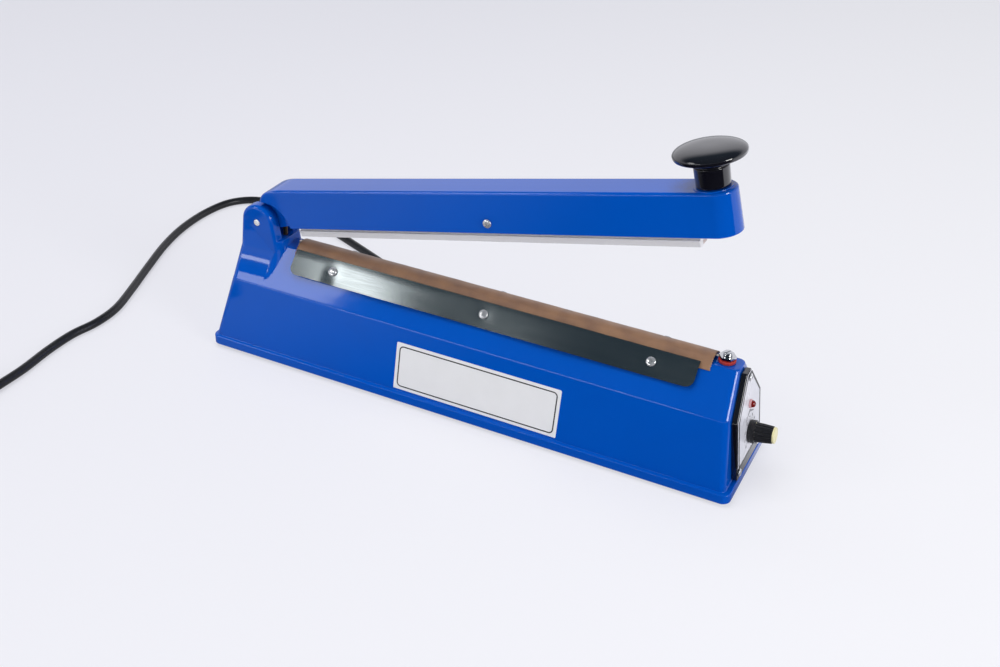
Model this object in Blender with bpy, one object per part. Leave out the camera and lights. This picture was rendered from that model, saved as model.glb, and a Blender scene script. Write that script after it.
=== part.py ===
"""Hand impulse sealer: a bench device that welds plastic bags with a heated band.

Metres, +Z up. +X runs from the hinge end to the timer end, -Y is the side that
faces the user, and the origin is on the table under the middle of the device.
"""
import math

import bmesh
import bpy
import numpy as np
from mathutils import Matrix, Vector

# Driving dimensions
BASE_LENGTH = 0.415
BASE_WIDTH = 0.0838
FOOT_CLEARANCE = 0.0026
FLANGE_HEIGHT = 0.0073
FLANGE_LEDGE = 0.0025
PANEL_END_LEDGE = 0.0042
CREASE_Z = 0.0580
CREASE_HALF_WIDTH = 0.0298
CREASE_INSET_HINGE = 0.0137
DECK_Z = 0.0842
DECK_HALF_WIDTH = 0.0082
DECK_INSET_HINGE = 0.0175
PANEL_LEAN = math.radians(7.1)
BASE_WALL = 0.0026
CORNER_RADIUS = 0.0060
DECK_EDGE_RADIUS = 0.0016
FLANGE_EDGE_RADIUS = 0.0011
CREASE_CORNER_RADIUS = 0.0055
DECK_CORNER_RADIUS = 0.0030
DECK_END_RADIUS = 0.0045
GAP = 0.0003
OVERRUN = 0.0040
SAME_POINT = 0.000003

# Hinge
PIN_FROM_END = 0.0316
PIN_Z = 0.1021
PIN_RADIUS = 0.0025
PIN_PROUD = 0.0006
EAR_HALF_WIDTH = 0.0157
EAR_SLOT_HALF_WIDTH = 0.0069
EAR_FOOT_Z = 0.0809
EAR_FOOT_START = 0.0150
EAR_FOOT_END = 0.0520
EAR_TOP_RADIUS = 0.0135
EAR_EDGE_RADIUS = 0.0028
EAR_END = 0.0488
BOSS_FOOT_END = 0.0490
BOSS_CORNER_RADIUS = 0.0075
BOSS_SINK = 0.0005
BOSS_TOP_DRAFT = 0.0012
BOSS_STEP = 0.0002
SLOT_FLOOR_Z = 0.0895

# Arm, measured from the pin along the arm and square to it
ARM_OPEN_ANGLE = math.radians(13.0)
ARM_TOP = 0.0242
ARM_BOTTOM = -0.0050
ARM_HALF_WIDTH_TOP = 0.0131
ARM_HALF_WIDTH_BOTTOM = 0.0140
ARM_WALL = 0.0025
ARM_EDGE_RADIUS = 0.0020
ARM_TAIL_CORNER = 0.0030
ARM_KNOB_INSET = 0.0316
ARM_TAIL_LOW = 0.0050
ARM_TAIL_MID = 0.0080
ARM_TAIL_TOP = 0.0130
ARM_TAIL_LOW_HEIGHT = 0.0130
ARM_TAIL_MID_HEIGHT = 0.0185
NOTCH_RADIUS = 0.0225
NOTCH_CENTRE_ALONG = 0.0062
NOTCH_CENTRE_HEIGHT = -0.0072
LUG_THICKNESS = 0.0030
LUG_RADIUS = 0.0085
LUG_END = 0.0240
HEEL_START = 0.0100
HEEL_HEIGHT = -0.0060
HEEL_THICKNESS = 0.0050

# Pressing bar
BAR_START = 0.0270
BAR_END_INSET = 0.0088
BAR_HALF_WIDTH = 0.0100
BAR_LIP_HALF_WIDTH = 0.0090
BAR_LIP_HEIGHT = 0.0032
BAR_TOP = 0.0070
BAR_WEB = 0.0018
STRIP_HALF_WIDTH = 0.0035
STRIP_DEPTH = 0.0022
STRIP_PROUD = 0.0006
BAR_SCREW_FROM_MIDDLE = 0.0100
BAR_SCREW_HEIGHT = 0.0023
BAR_SCREW_RADIUS = 0.0015
BAR_SCREW_HEAD_RADIUS = 0.0031
BAR_SCREW_HEAD_HEIGHT = 0.0014
BAR_NUT_RADIUS = 0.0032
BAR_NUT_THICKNESS = 0.0024
BAR_SCREW_END = 0.0008

# Sealing line on the deck; starts are from the hinge end of the base and insets from its panel end
INSULATOR_START = 0.0625
INSULATOR_END_INSET = 0.0335
INSULATOR_HALF_WIDTH = 0.0040
INSULATOR_HEIGHT = 0.0023
BAND_HALF_WIDTH = 0.0012
BAND_THICKNESS = 0.00025
BAND_DROP_START = 0.0585
BAND_DROP = 0.0150
BAND_TAB_RADIUS = 0.0042
CLOTH_START = 0.0610
CLOTH_END_INSET = 0.0320
CLOTH_THICKNESS = 0.0004
CLOTH_TUCK = 0.0045
PLATE_START = 0.0630
PLATE_END_INSET = 0.0390
PLATE_THICKNESS = 0.0010
PLATE_LOW_SHARE = 0.44
PLATE_CORNER_RADIUS = 0.0060
PLATE_SCREW_START_INSET = 0.0341
PLATE_SCREW_END_INSET = 0.0315
PLATE_SCREW_UP_SHARE = 0.73
PLATE_SCREW_RADIUS = 0.0015
PLATE_SCREW_HEAD_RADIUS = 0.0033
PLATE_SCREW_HEAD_HEIGHT = 0.0018
PLATE_SCREW_GRIP = 0.0060
TERMINAL_INSET = 0.0243
TERMINAL_WASHER_RADIUS = 0.0059
TERMINAL_CUP_RADIUS = 0.0056
TERMINAL_CUP_HEIGHT = 0.0012
TERMINAL_SCREW_RADIUS = 0.0018
TERMINAL_HEAD_RADIUS = 0.0031
TERMINAL_HEAD_HEIGHT = 0.0026
TERMINAL_SHANK = 0.0130

# Handle knob
KNOB_STEM_RADIUS = 0.0115
KNOB_STEM_TOP_RADIUS = 0.0119
KNOB_STEM_HEIGHT = 0.0125
KNOB_NECK_RADIUS = 0.0108
KNOB_RIM_RADIUS = 0.0250
KNOB_RIM_HEIGHT = 0.0198
KNOB_TOP_HEIGHT = 0.0272
KNOB_EDGE = 0.0036
KNOB_EDGE_RISE = math.radians(60.0)
KNOB_NECK_HEIGHT = 0.0140
KNOB_LAND_RADIUS = 0.0126
KNOB_LAND_HEIGHT = 0.0006
KNOB_DOME_SHARES = (0.8, 0.6, 0.4, 0.2, 0.05)
KNOB_BOLT_RADIUS = 0.0030
KNOB_BOLT_DEPTH = 0.0100
KNOB_BOLT_HEAD_RADIUS = 0.0058
KNOB_BOLT_HEAD_HEIGHT = 0.0035

# End panel
PANEL_THICKNESS = 0.0038
PANEL_LOW_Z = 0.0108
PANEL_SHOULDER_Z = 0.0552
PANEL_TOP_Z = 0.0812
PANEL_HALF_WIDTH = 0.0250
PANEL_TOP_HALF_WIDTH = 0.0046
PANEL_CORNER_RADIUS = 0.0018
DIAL_THICKNESS = 0.0005
DIAL_MARGIN = 0.0010
DIAL_LOW_MARGIN = 0.0090
PANEL_SCREW_RADIUS = 0.0014
PANEL_SCREW_HEAD_RADIUS = 0.0027
PANEL_SCREW_HEAD_HEIGHT = 0.0012
PANEL_SCREW_INSET = 0.0046
LAMP_Z = 0.0568
LAMP_RADIUS = 0.0025
LAMP_PROUD = 0.0036
LAMP_DEPTH = 0.0090
LAMP_LIP = 0.0006
LAMP_DOME_START = math.radians(15.0)
LAMP_DOME_END = math.radians(82.0)
DIAL_KNOB_Z = 0.0355
DIAL_KNOB_RADIUS = 0.0067
DIAL_KNOB_TIP_RADIUS = 0.0060
DIAL_KNOB_SKIRT_RADIUS = 0.0079
DIAL_KNOB_SKIRT_HEIGHT = 0.0040
DIAL_KNOB_STANDOFF = 0.0005
DIAL_KNOB_LENGTH = 0.0155
DIAL_KNOB_FLUTES = 16
DIAL_KNOB_FLUTE_DEPTH = 0.0005
DIAL_CAP_RADIUS = 0.0056
DIAL_CAP_SPIGOT_RADIUS = 0.0042
DIAL_CAP_HEIGHT = 0.0014
DIAL_CAP_SEAT = 0.0014
SHAFT_RADIUS = 0.0030
SHAFT_GRIP = 0.0110
POT_RADIUS = 0.0085
POT_DEPTH = 0.0090
POT_NECK_RADIUS = 0.0042
POT_BORE_DEPTH = 0.0110

# Underside
COVER_THICKNESS = 0.0010
COVER_CLEARANCE = 0.0006
COVER_RISE = 0.0008
FOOT_RADIUS = 0.0080
FOOT_INSET_ALONG = 0.0400
FOOT_INSET_ACROSS = 0.0150
POST_RADIUS = 0.0042
POST_INSET_ALONG = 0.0200
POST_BITE = 0.0011
POST_HEIGHT = 0.0240
COVER_SCREW_RADIUS = 0.0014
COVER_SCREW_HEAD_RADIUS = 0.0028
COVER_SCREW_HEAD_HEIGHT = 0.0012
COVER_SCREW_LENGTH = 0.0080

# Inside
CORE_END_INSET = 0.1050
CORE_LENGTH = 0.0570
CORE_HEIGHT = 0.0420
CORE_STACK = 0.0220
CORE_LEG = 0.0190
CORE_YOKE = 0.0085
WINDING_CLEARANCE = 0.0005
WINDING_OVERHANG = 0.0085
BOARD_THICKNESS = 0.0016
BOARD_HALF_WIDTH = 0.0190
BOARD_HEIGHT = 0.0300
RELAY_DEPTH = 0.0150
RELAY_HALF_WIDTH = 0.0060
RELAY_HEIGHT = 0.0100
SWITCH_LENGTH = 0.0200
SWITCH_THICKNESS = 0.0064
SWITCH_HEIGHT = 0.0100
SWITCH_TOP_Z = 0.0660
SWITCH_START = 0.0345
SWITCH_BUTTON_HEIGHT = 0.0006
RIB_THICKNESS = 0.0020
SWITCH_RIB_LOW_Z = 0.0540
PLUNGER_ALONG = 0.0140
PLUNGER_RADIUS = 0.0018
PLUNGER_STEM_RADIUS = 0.0011
PLUNGER_COLLAR_RADIUS = 0.0030
PLUNGER_COLLAR_THICKNESS = 0.0014
PLUNGER_COLLAR_Z = 0.0738
PLUNGER_STEM_LOW_Z = 0.0698
PLUNGER_SPRING_RADIUS = 0.0022
PLUNGER_SPRING_WIRE = 0.00025
PLUNGER_SPRING_TURNS = 5
ELEMENT_SPRING_RADIUS = 0.0024
ELEMENT_SPRING_WIRE = 0.0004
ELEMENT_SPRING_TURNS = 8
ELEMENT_SPRING_LENGTH = 0.0150
ANCHOR_RIB_OFFSET = 0.0048
ANCHOR_RIB_HALF_WIDTH = 0.0055
RETURN_SPRING_RADIUS = 0.0041
RETURN_SPRING_WIRE = 0.00045
RETURN_SPRING_TURNS = 2
RETURN_SPRING_LEG_LEAN = math.radians(35.0)

# Supply lead
CORD_RADIUS = 0.0033
GLAND_PLACE = 0.1300
GLAND_Z = 0.0240
GLAND_PAD_RADIUS = 0.0090
GLAND_PAD_PROUD = 0.0030
GLAND_NECK_RADIUS = 0.0052
GLAND_FLANGE_RADIUS = 0.0078
GLAND_FLANGE_THICKNESS = 0.0020
GLAND_ROOT_RADIUS = 0.0062
GLAND_TIP_RADIUS = 0.0044
GLAND_LENGTH = 0.0320
GLAND_RINGS = 5
GLAND_RING_DEPTH = 0.0005
GLAND_NECK_LENGTH = 0.0090
COIL_TURNS_DOWN = 1.75
COIL_RADIUS = 0.0395
COIL_PITCH = 0.0073
COIL_CLIMB_SHARE = 0.25
COIL_POINTS_PER_TURN = 24
TIE_THICKNESS = 0.0008
TIE_WIDTH = 0.0050
TIE_CLEARANCE = 0.0005
TIE_TURN_SHARE = 0.25
PLUG_LENGTH = 0.0350
PLUG_HALF_WIDTH = 0.0176
PLUG_SHOULDER_HALF_WIDTH = 0.0130
PLUG_HALF_HEIGHT = 0.0068
PLUG_NECK_RADIUS = 0.0050
PLUG_PIN_RADIUS = 0.0020
PLUG_PIN_LENGTH = 0.0190
PLUG_PIN_SPACING = 0.0186
PLUG_PIN_SEAT = 0.0040
PLUG_LEAD = 0.0300
PLUG_LEAD_STEPS = 6
PLUG_EDGE = 0.0011
PLUG_GRIP_SHARE = 0.28
PLUG_SHOULDER_SHARE = 0.46
PLUG_FACE_SHARE = 0.92
LIE_CLEARANCE = 0.0001

# The lead's way over the table, chosen by hand, from the hinge end and the middle line
CORD_ROUTE = (
    (0.1300, 0.0880, 0.0228),
    (0.1180, 0.1010, 0.0165),
    (0.0930, 0.1120, 0.0075),
    (0.0650, 0.1230, 0.0036),
    (0.0321, 0.1373, 0.0034),
    (-0.0004, 0.1512, 0.0034),
    (-0.0350, 0.1650, 0.0034),
    (-0.0780, 0.1790, 0.0034),
    (-0.1130, 0.1790, 0.0034),
    (-0.1343, 0.1635, 0.0034),
    (-0.1421, 0.1361, 0.0034),
    (-0.1414, 0.1005, 0.0034),
    (-0.1338, 0.0650, 0.0034),
    (-0.1206, 0.0267, 0.0034),
    (-0.1075, -0.0090, 0.0034),
    (-0.0977, -0.0395, 0.0034),
    (-0.0965, -0.0640, 0.0034),
    (-0.1005, -0.0860, 0.0034),
    (-0.1005, -0.1116, 0.0034),
    (-0.0976, -0.1399, 0.0036),
    (-0.0969, -0.1643, 0.0042),
)
COIL_START = (-0.0969, -0.1900)

# Colours
BLUE = (0.010, 0.075, 0.440)
BLACK = (0.018, 0.019, 0.022)
DARK_GREY = (0.060, 0.063, 0.070)
SILVER = (0.640, 0.630, 0.640)
STEEL = (0.520, 0.540, 0.560)
BRASS = (0.700, 0.520, 0.230)
CLOTH_BROWN = (0.270, 0.170, 0.105)
SILICONE_RED = (0.420, 0.070, 0.040)
FIBRE = (0.560, 0.420, 0.250)
LAMP_RED = (0.620, 0.030, 0.020)
WASHER_RED = (0.500, 0.060, 0.040)
CREAM = (0.780, 0.740, 0.560)
LAVENDER = (0.500, 0.540, 0.720)
BOARD_GREEN = (0.030, 0.160, 0.060)
COPPER = (0.500, 0.190, 0.080)
CORE_GREY = (0.180, 0.180, 0.190)

# Facets
CORNER_STEPS = 5
ARC_STEPS = 10
SMALL_ROUND = 12
MEDIUM_ROUND = 16
ROUND = 24
LARGE_ROUND = 44
WIRE_STEPS_PER_TURN = 10
SMOOTH_ANGLE = math.radians(32.0)

# Places that follow from the sizes above
LEDGE_Z = FOOT_CLEARANCE + FLANGE_HEIGHT
PANEL_SLOPE = math.tan(PANEL_LEAN)
CREASE_INSET_PANEL = PANEL_END_LEDGE + (CREASE_Z - LEDGE_Z) * PANEL_SLOPE
DECK_INSET_PANEL = PANEL_END_LEDGE + (DECK_Z - LEDGE_Z) * PANEL_SLOPE
CORE_PLACE = BASE_LENGTH - CORE_END_INSET
INSULATOR_END = BASE_LENGTH - INSULATOR_END_INSET
CLOTH_END = BASE_LENGTH - CLOTH_END_INSET
PLATE_END = BASE_LENGTH - PLATE_END_INSET
PLATE_FIRST_SCREW = PLATE_START + PLATE_SCREW_START_INSET
PLATE_LAST_SCREW = PLATE_END - PLATE_SCREW_END_INSET
PLATE_SCREW_PLACES = (PLATE_FIRST_SCREW, (PLATE_FIRST_SCREW + PLATE_LAST_SCREW) / 2, PLATE_LAST_SCREW)
TERMINAL_PLACE = BASE_LENGTH - TERMINAL_INSET
ARM_KNOB_CENTRE = BASE_LENGTH - PIN_FROM_END - ARM_KNOB_INSET
BAR_END = ARM_KNOB_CENTRE - BAR_END_INSET
BAR_SCREW_ALONG = (BAR_START + BAR_END) / 2 + BAR_SCREW_FROM_MIDDLE
INSULATOR_Z = DECK_Z + GAP
BAND_Z = INSULATOR_Z + INSULATOR_HEIGHT + GAP
CLOTH_Z = BAND_Z + BAND_THICKNESS + GAP
BAR_BOTTOM = CLOTH_Z + CLOTH_THICKNESS + GAP + STRIP_PROUD - PIN_Z
PANEL_FACE = PANEL_THICKNESS + GAP
DIAL_FACE = PANEL_FACE + GAP + DIAL_THICKNESS
DIAL_KNOB_BASE = DIAL_FACE + DIAL_KNOB_STANDOFF
DIAL_KNOB_UP = (DIAL_KNOB_Z - LEDGE_Z) / math.cos(PANEL_LEAN)
DIAL_TIP = DIAL_KNOB_BASE + DIAL_KNOB_LENGTH + GAP + DIAL_CAP_HEIGHT
OVERALL_LENGTH = (BASE_LENGTH - PANEL_END_LEDGE + DIAL_TIP * math.cos(PANEL_LEAN)
                  - DIAL_KNOB_UP * math.sin(PANEL_LEAN) + DIAL_CAP_RADIUS * math.sin(PANEL_LEAN))


def along(distance):
    """World X of a place measured from the hinge end of the base."""
    return distance - OVERALL_LENGTH / 2


def clear_scene():
    for old in list(bpy.data.objects):
        bpy.data.objects.remove(old, do_unlink=True)


def material(name, colour, roughness, metallic=0.0):
    made = bpy.data.materials.get(name)
    if made is None:
        made = bpy.data.materials.new(name)
        made.use_nodes = True
        shader = made.node_tree.nodes["Principled BSDF"]
        shader.inputs["Base Color"].default_value = (*colour, 1.0)
        shader.inputs["Roughness"].default_value = roughness
        shader.inputs["Metallic"].default_value = metallic
        made.diffuse_color = (*colour, 1.0)
    return made


def finish(name, body, look, parent=None):
    """Turn a bmesh into a named object, smooth where its faces meet softly."""
    bmesh.ops.recalc_face_normals(body, faces=body.faces)
    mesh = bpy.data.meshes.new(name)
    body.to_mesh(mesh)
    body.free()
    mesh.materials.append(look)
    mesh.shade_smooth()
    mesh.set_sharp_from_angle(angle=SMOOTH_ANGLE)
    made = bpy.data.objects.new(name, mesh)
    bpy.context.scene.collection.objects.link(made)
    made.parent = parent
    return made


def boolean(target, body, operation="DIFFERENCE"):
    """Cut a closed shape from a target, or join it on, and keep the shape as a guide."""
    label = f"{target.name}_{operation.lower()}_{len(target.modifiers)}"
    guide = finish(label, body, target.data.materials[0], target.parent)
    guide.hide_render = True
    guide.display_type = "WIRE"
    step = target.modifiers.new(label, "BOOLEAN")
    step.operation = operation
    step.solver = "EXACT"
    step.object = guide


def loft(body, rings, closed=False):
    """Skin rings of equal point counts, capped at both ends unless the skin closes on itself."""
    rows = [[body.verts.new(point) for point in ring] for ring in rings]
    count = len(rows[0])
    pairs = list(zip(rows, rows[1:]))
    if closed:
        pairs.append((rows[-1], rows[0]))
    for low, high in pairs:
        for i in range(count):
            j = (i + 1) % count
            body.faces.new((low[i], low[j], high[j], high[i]))
    if not closed:
        body.faces.new(rows[0][::-1])
        body.faces.new(rows[-1])
    return body


def prism(body, outline, start, end, placed):
    """Extrude an outline of pairs from one depth to another; placed turns (a, b, depth) to a point."""
    rings = [[placed(a, b, depth) for a, b in outline] for depth in (start, end)]
    return loft(body, rings)


def circle(radius, count, phase=0.0):
    steps = [phase + math.tau * i / count for i in range(count)]
    return [(radius * math.cos(angle), radius * math.sin(angle)) for angle in steps]


def arc(centre, radius, start, end, steps):
    angles = [start + (end - start) * i / steps for i in range(steps + 1)]
    return [(centre[0] + radius * math.cos(a), centre[1] + radius * math.sin(a)) for a in angles]


def rounded_rectangle(low_a, high_a, low_b, high_b, radii, steps=CORNER_STEPS):
    """Corner radii go round from (low, low) through (high, low), (high, high), (low, high)."""
    corners = ((low_a, low_b), (high_a, low_b), (high_a, high_b), (low_a, high_b))
    inward = ((1, 1), (-1, 1), (-1, -1), (1, -1))
    points = []
    for k, (corner, way, radius) in enumerate(zip(corners, inward, radii)):
        centre = (corner[0] + way[0] * radius, corner[1] + way[1] * radius)
        start = math.pi + k * math.pi / 2
        points += arc(centre, radius, start, start + math.pi / 2, steps)
    return points


def lathe(body, profile, count, placed, closed=False):
    """Turn a profile of (radius, height) pairs; placed turns (a, b, height) to a point."""
    rings = [[placed(a, b, height) for a, b in circle(radius, count)] for radius, height in profile]
    return loft(body, rings, closed)


def world(a, b, c):
    return Vector((along(a), b, c))


def plain(a, b, c):
    return Vector((a, b, c))


def offset_corner(before, corner, after, distance):
    """Meeting point of the two lines through a corner, both moved to the left by a distance."""
    lines = []
    for first, second in ((before, corner), (corner, after)):
        run = Vector(second) - Vector(first)
        run.normalize()
        left = Vector((-run.y, run.x))
        lines.append((Vector(first) + left * distance, run))
    (p, r), (q, s) = lines
    cross = r.x * s.y - r.y * s.x
    along_first = ((q.x - p.x) * s.y - (q.y - p.y) * s.x) / cross
    return tuple(p + r * along_first)


def offset_line(points, distance):
    """A line of pairs moved to its left by a distance, with its corners kept sharp."""
    moved = []
    for i, point in enumerate(points):
        if 0 < i < len(points) - 1:
            moved.append(offset_corner(points[i - 1], point, points[i + 1], distance))
            continue
        other = points[1] if i == 0 else points[i - 1]
        run = Vector(other) - Vector(point) if i == 0 else Vector(point) - Vector(other)
        run.normalize()
        moved.append(tuple(Vector(point) + Vector((-run.y, run.x)) * distance))
    return moved


def fillet(before, corner, after, radius, steps=CORNER_STEPS):
    """Points of the round that joins two straight lines at a corner."""
    a = (Vector(before) - Vector(corner)).normalized()
    b = (Vector(after) - Vector(corner)).normalized()
    half = a.angle(b) / 2
    centre = Vector(corner) + (a + b).normalized() * (radius / math.sin(half))
    reach = radius / math.tan(half)
    first = Vector(corner) + a * reach - centre
    last = Vector(corner) + b * reach - centre
    turn = first.angle_signed(last)
    points = []
    for i in range(steps + 1):
        angle = -turn * i / steps
        c, s = math.cos(angle), math.sin(angle)
        points.append(tuple(centre + Vector((first.x * c - first.y * s, first.x * s + first.y * c))))
    return points


def tube(name, points, radius, look, sides_resolution):
    """A round wire or cord along points, with filled ends."""
    curve = bpy.data.curves.new(name, "CURVE")
    curve.dimensions = "3D"
    curve.bevel_depth = radius
    curve.bevel_resolution = sides_resolution
    curve.use_fill_caps = True
    curve.twist_mode = "MINIMUM"
    line = curve.splines.new("POLY")
    line.points.add(len(points) - 1)
    for target, point in zip(line.points, points):
        target.co = (*point, 1.0)
    curve.materials.append(look)
    made = bpy.data.objects.new(name, curve)
    bpy.context.scene.collection.objects.link(made)
    return made


def least_gap(points, radius, apart):
    """Least distance between the skins of stretches of a tube that lie apart along it."""
    line = np.array([tuple(point) for point in points])
    steps = np.linalg.norm(np.diff(line, axis=0), axis=1)
    reach = np.concatenate(([0.0], np.cumsum(steps)))
    away = np.linalg.norm(line[:, None] - line[None], axis=2)
    far = np.abs(reach[:, None] - reach[None]) > apart
    return float(away[far].min()) - radius - radius


# Housing

def side_profile():
    """Outer line of the housing's section, from the ledge over the crease to the deck."""
    ledge = (BASE_WIDTH / 2 - FLANGE_LEDGE, LEDGE_Z)
    crease = (CREASE_HALF_WIDTH, CREASE_Z)
    deck = (DECK_HALF_WIDTH, DECK_Z)
    return [ledge, crease, deck, (0.0, DECK_Z)]


def end_profiles():
    """Outer lines of the hinge end and the panel end as (inset, height) pairs."""
    hinge = [(FLANGE_LEDGE, LEDGE_Z), (CREASE_INSET_HINGE, CREASE_Z), (DECK_INSET_HINGE, DECK_Z)]
    panel = [(PANEL_END_LEDGE, LEDGE_Z), (CREASE_INSET_PANEL, CREASE_Z), (DECK_INSET_PANEL, DECK_Z)]
    return hinge, panel


def read_off(profile, height):
    """Reach of a rising profile of (reach, height) pairs at a height."""
    rising = [(reach, level) for reach, level in profile if level <= DECK_Z]
    return float(np.interp(height, [level for _, level in rising], [reach for reach, _ in rising]))


def housing_ring(height, half, inset_hinge, inset_panel, radius, end_radius=None):
    """Plan outline of the housing; its corners at the panel end may have a radius of their own."""
    end = radius if end_radius is None else end_radius
    radii = (radius, end, end, radius)
    outline = rounded_rectangle(inset_hinge, BASE_LENGTH - inset_panel, -half, half, radii)
    return [world(a, b, height) for a, b in outline]


def housing_skin():
    """Flange, leaning walls, upper slopes and deck as one closed outer form."""
    hinge, panel = end_profiles()
    side = side_profile()
    flange = BASE_WIDTH / 2
    rings = [housing_ring(FOOT_CLEARANCE, flange, 0.0, 0.0, CORNER_RADIUS)]
    for a, b in arc((0.0, 0.0), FLANGE_EDGE_RADIUS, 0.0, math.pi / 2, 3):
        inset = FLANGE_EDGE_RADIUS - a
        level = LEDGE_Z - FLANGE_EDGE_RADIUS + b
        rings.append(housing_ring(level, flange - inset, inset, inset, CORNER_RADIUS - inset))
    rings.append(housing_ring(LEDGE_Z, side[0][0], FLANGE_LEDGE, PANEL_END_LEDGE,
                              CORNER_RADIUS - FLANGE_LEDGE))
    rings.append(housing_ring(CREASE_Z, side[1][0], CREASE_INSET_HINGE, CREASE_INSET_PANEL,
                              CREASE_CORNER_RADIUS))
    edge = fillet(side[1], side[2], side[3], DECK_EDGE_RADIUS)
    start = edge[0][1]
    for half, level in edge:
        rise = min((level - start) / (DECK_Z - start), 1.0)
        curl = DECK_EDGE_RADIUS * (1.0 - math.sqrt(1.0 - rise * rise))
        rings.append(housing_ring(level, half, read_off(hinge, level) + curl,
                                  read_off(panel, level) + curl, DECK_CORNER_RADIUS, DECK_END_RADIUS))
    return loft(bmesh.new(), rings)


def housing_cavity():
    """Space inside the housing, one wall in from its skin and open below."""
    ends = [offset_line(profile, -BASE_WALL) for profile in end_profiles()]
    side = offset_line(side_profile(), BASE_WALL)
    recess = BASE_WIDTH / 2 - BASE_WALL
    recess_top = LEDGE_Z - BASE_WALL
    radius = CORNER_RADIUS - BASE_WALL
    lean = (side[1][0] - side[0][0]) / (side[1][1] - side[0][1])
    rings = [
        housing_ring(FOOT_CLEARANCE - OVERRUN, recess, BASE_WALL, BASE_WALL, radius),
        housing_ring(recess_top, recess, BASE_WALL, BASE_WALL, radius),
    ]
    levels = [(side[0][0] + (recess_top - side[0][1]) * lean, recess_top), side[1], side[2]]
    for half, level in levels:
        rings.append(housing_ring(level, half, read_off(ends[0], level), read_off(ends[1], level),
                                  DECK_CORNER_RADIUS))
    return loft(bmesh.new(), rings)


def boss_ring(level, start, end, half, left_radius, right_radius):
    radii = (left_radius, right_radius, right_radius, left_radius)
    return [world(a, b, level) for a, b in rounded_rectangle(start, end, -half, half, radii)]


def hinge_boss():
    """Raised block that grows out of the upper slopes and carries the two hinge ears."""
    half = EAR_HALF_WIDTH - BOSS_STEP
    rings = [
        boss_ring(CREASE_Z - BOSS_SINK, CREASE_INSET_HINGE, BOSS_FOOT_END, CREASE_HALF_WIDTH,
                  CREASE_CORNER_RADIUS, BOSS_CORNER_RADIUS),
        boss_ring(EAR_FOOT_Z, EAR_FOOT_START, EAR_FOOT_END, half, DECK_CORNER_RADIUS, BOSS_CORNER_RADIUS),
        boss_ring(SLOT_FLOOR_Z, EAR_FOOT_START + BOSS_TOP_DRAFT, EAR_FOOT_END - BOSS_TOP_DRAFT, half,
                  DECK_CORNER_RADIUS, BOSS_CORNER_RADIUS),
    ]
    return loft(bmesh.new(), rings)


def boss_cavity():
    half = EAR_HALF_WIDTH - BASE_WALL
    low = CREASE_HALF_WIDTH - BASE_WALL - BASE_WALL
    rings = [
        boss_ring(CREASE_Z - BASE_WALL, CREASE_INSET_HINGE + BASE_WALL + BASE_WALL,
                  BOSS_FOOT_END - BASE_WALL, low, DECK_CORNER_RADIUS, BOSS_CORNER_RADIUS),
        boss_ring(EAR_FOOT_Z - BASE_WALL, EAR_FOOT_START + BASE_WALL + BOSS_TOP_DRAFT,
                  EAR_FOOT_END - BASE_WALL, half, DECK_CORNER_RADIUS, BOSS_CORNER_RADIUS),
        boss_ring(SLOT_FLOOR_Z - BASE_WALL, EAR_FOOT_START + BASE_WALL + BOSS_TOP_DRAFT,
                  EAR_FOOT_END - BASE_WALL - BOSS_TOP_DRAFT, half, DECK_CORNER_RADIUS, BOSS_CORNER_RADIUS),
    ]
    return loft(bmesh.new(), rings)


def tangent(centre, radius, point, way):
    """Angle on a circle where a line from an outside point touches it."""
    run = (point[0] - centre[0], point[1] - centre[1])
    return math.atan2(run[1], run[0]) + way * math.acos(radius / math.hypot(*run))


def ear_outline(inset):
    """Arch with a round head over the pin and sides that run out to a wide foot."""
    low = EAR_FOOT_Z - BOSS_SINK
    left = (EAR_FOOT_START + BOSS_STEP + inset, low)
    right = (EAR_END - inset, low)
    centre = (PIN_FROM_END, PIN_Z)
    radius = EAR_TOP_RADIUS - inset
    start = tangent(centre, radius, right, 1)
    end = tangent(centre, radius, left, -1) % math.tau
    return [left, right] + arc(centre, radius, start, end, ARC_STEPS)


def hinge_ears():
    body = bmesh.new()
    for side in (-1, 1):
        rings = [[world(a, side * EAR_SLOT_HALF_WIDTH, b) for a, b in ear_outline(0.0)]]
        for reach, out in arc((0.0, 0.0), EAR_EDGE_RADIUS, 0.0, math.pi / 2, 4):
            y = side * (EAR_HALF_WIDTH - EAR_EDGE_RADIUS + out)
            rings.append([world(a, y, b) for a, b in ear_outline(EAR_EDGE_RADIUS - reach)])
        loft(body, rings)
    return body


def box(body, low, high):
    """Closed box between two corners given in the housing's own distances."""
    outline = [(low[0], low[1]), (high[0], low[1]), (high[0], high[1]), (low[0], high[1])]
    return prism(body, outline, low[2], high[2], world)


def housing_ribs():
    """Rib that holds the switch and rib that anchors the band's spring."""
    side = offset_line(side_profile(), BASE_WALL)
    body = bmesh.new()
    inner = SWITCH_THICKNESS / 2 + GAP
    box(body, (SWITCH_START, inner, SWITCH_RIB_LOW_Z),
        (SWITCH_START + SWITCH_LENGTH - RIB_THICKNESS - RIB_THICKNESS, inner + RIB_THICKNESS,
         SLOT_FLOOR_Z - BASE_WALL / 2))
    anchor = BAND_DROP_START + ANCHOR_RIB_OFFSET
    low = side[2][1] - BAND_DROP - ELEMENT_SPRING_LENGTH
    box(body, (anchor, -ANCHOR_RIB_HALF_WIDTH, low),
        (anchor + RIB_THICKNESS, ANCHOR_RIB_HALF_WIDTH, DECK_Z - BASE_WALL / 2))
    return body


def post_places():
    """Places of the screw posts, whose tops bite into the leaning side walls."""
    inner = read_off(offset_line(side_profile(), BASE_WALL), post_low() + POST_HEIGHT)
    reach = inner + POST_BITE - POST_RADIUS
    return [(a, b) for a in (POST_INSET_ALONG, BASE_LENGTH - POST_INSET_ALONG) for b in (-reach, reach)]


def post_low():
    return cover_top() + GAP


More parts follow.
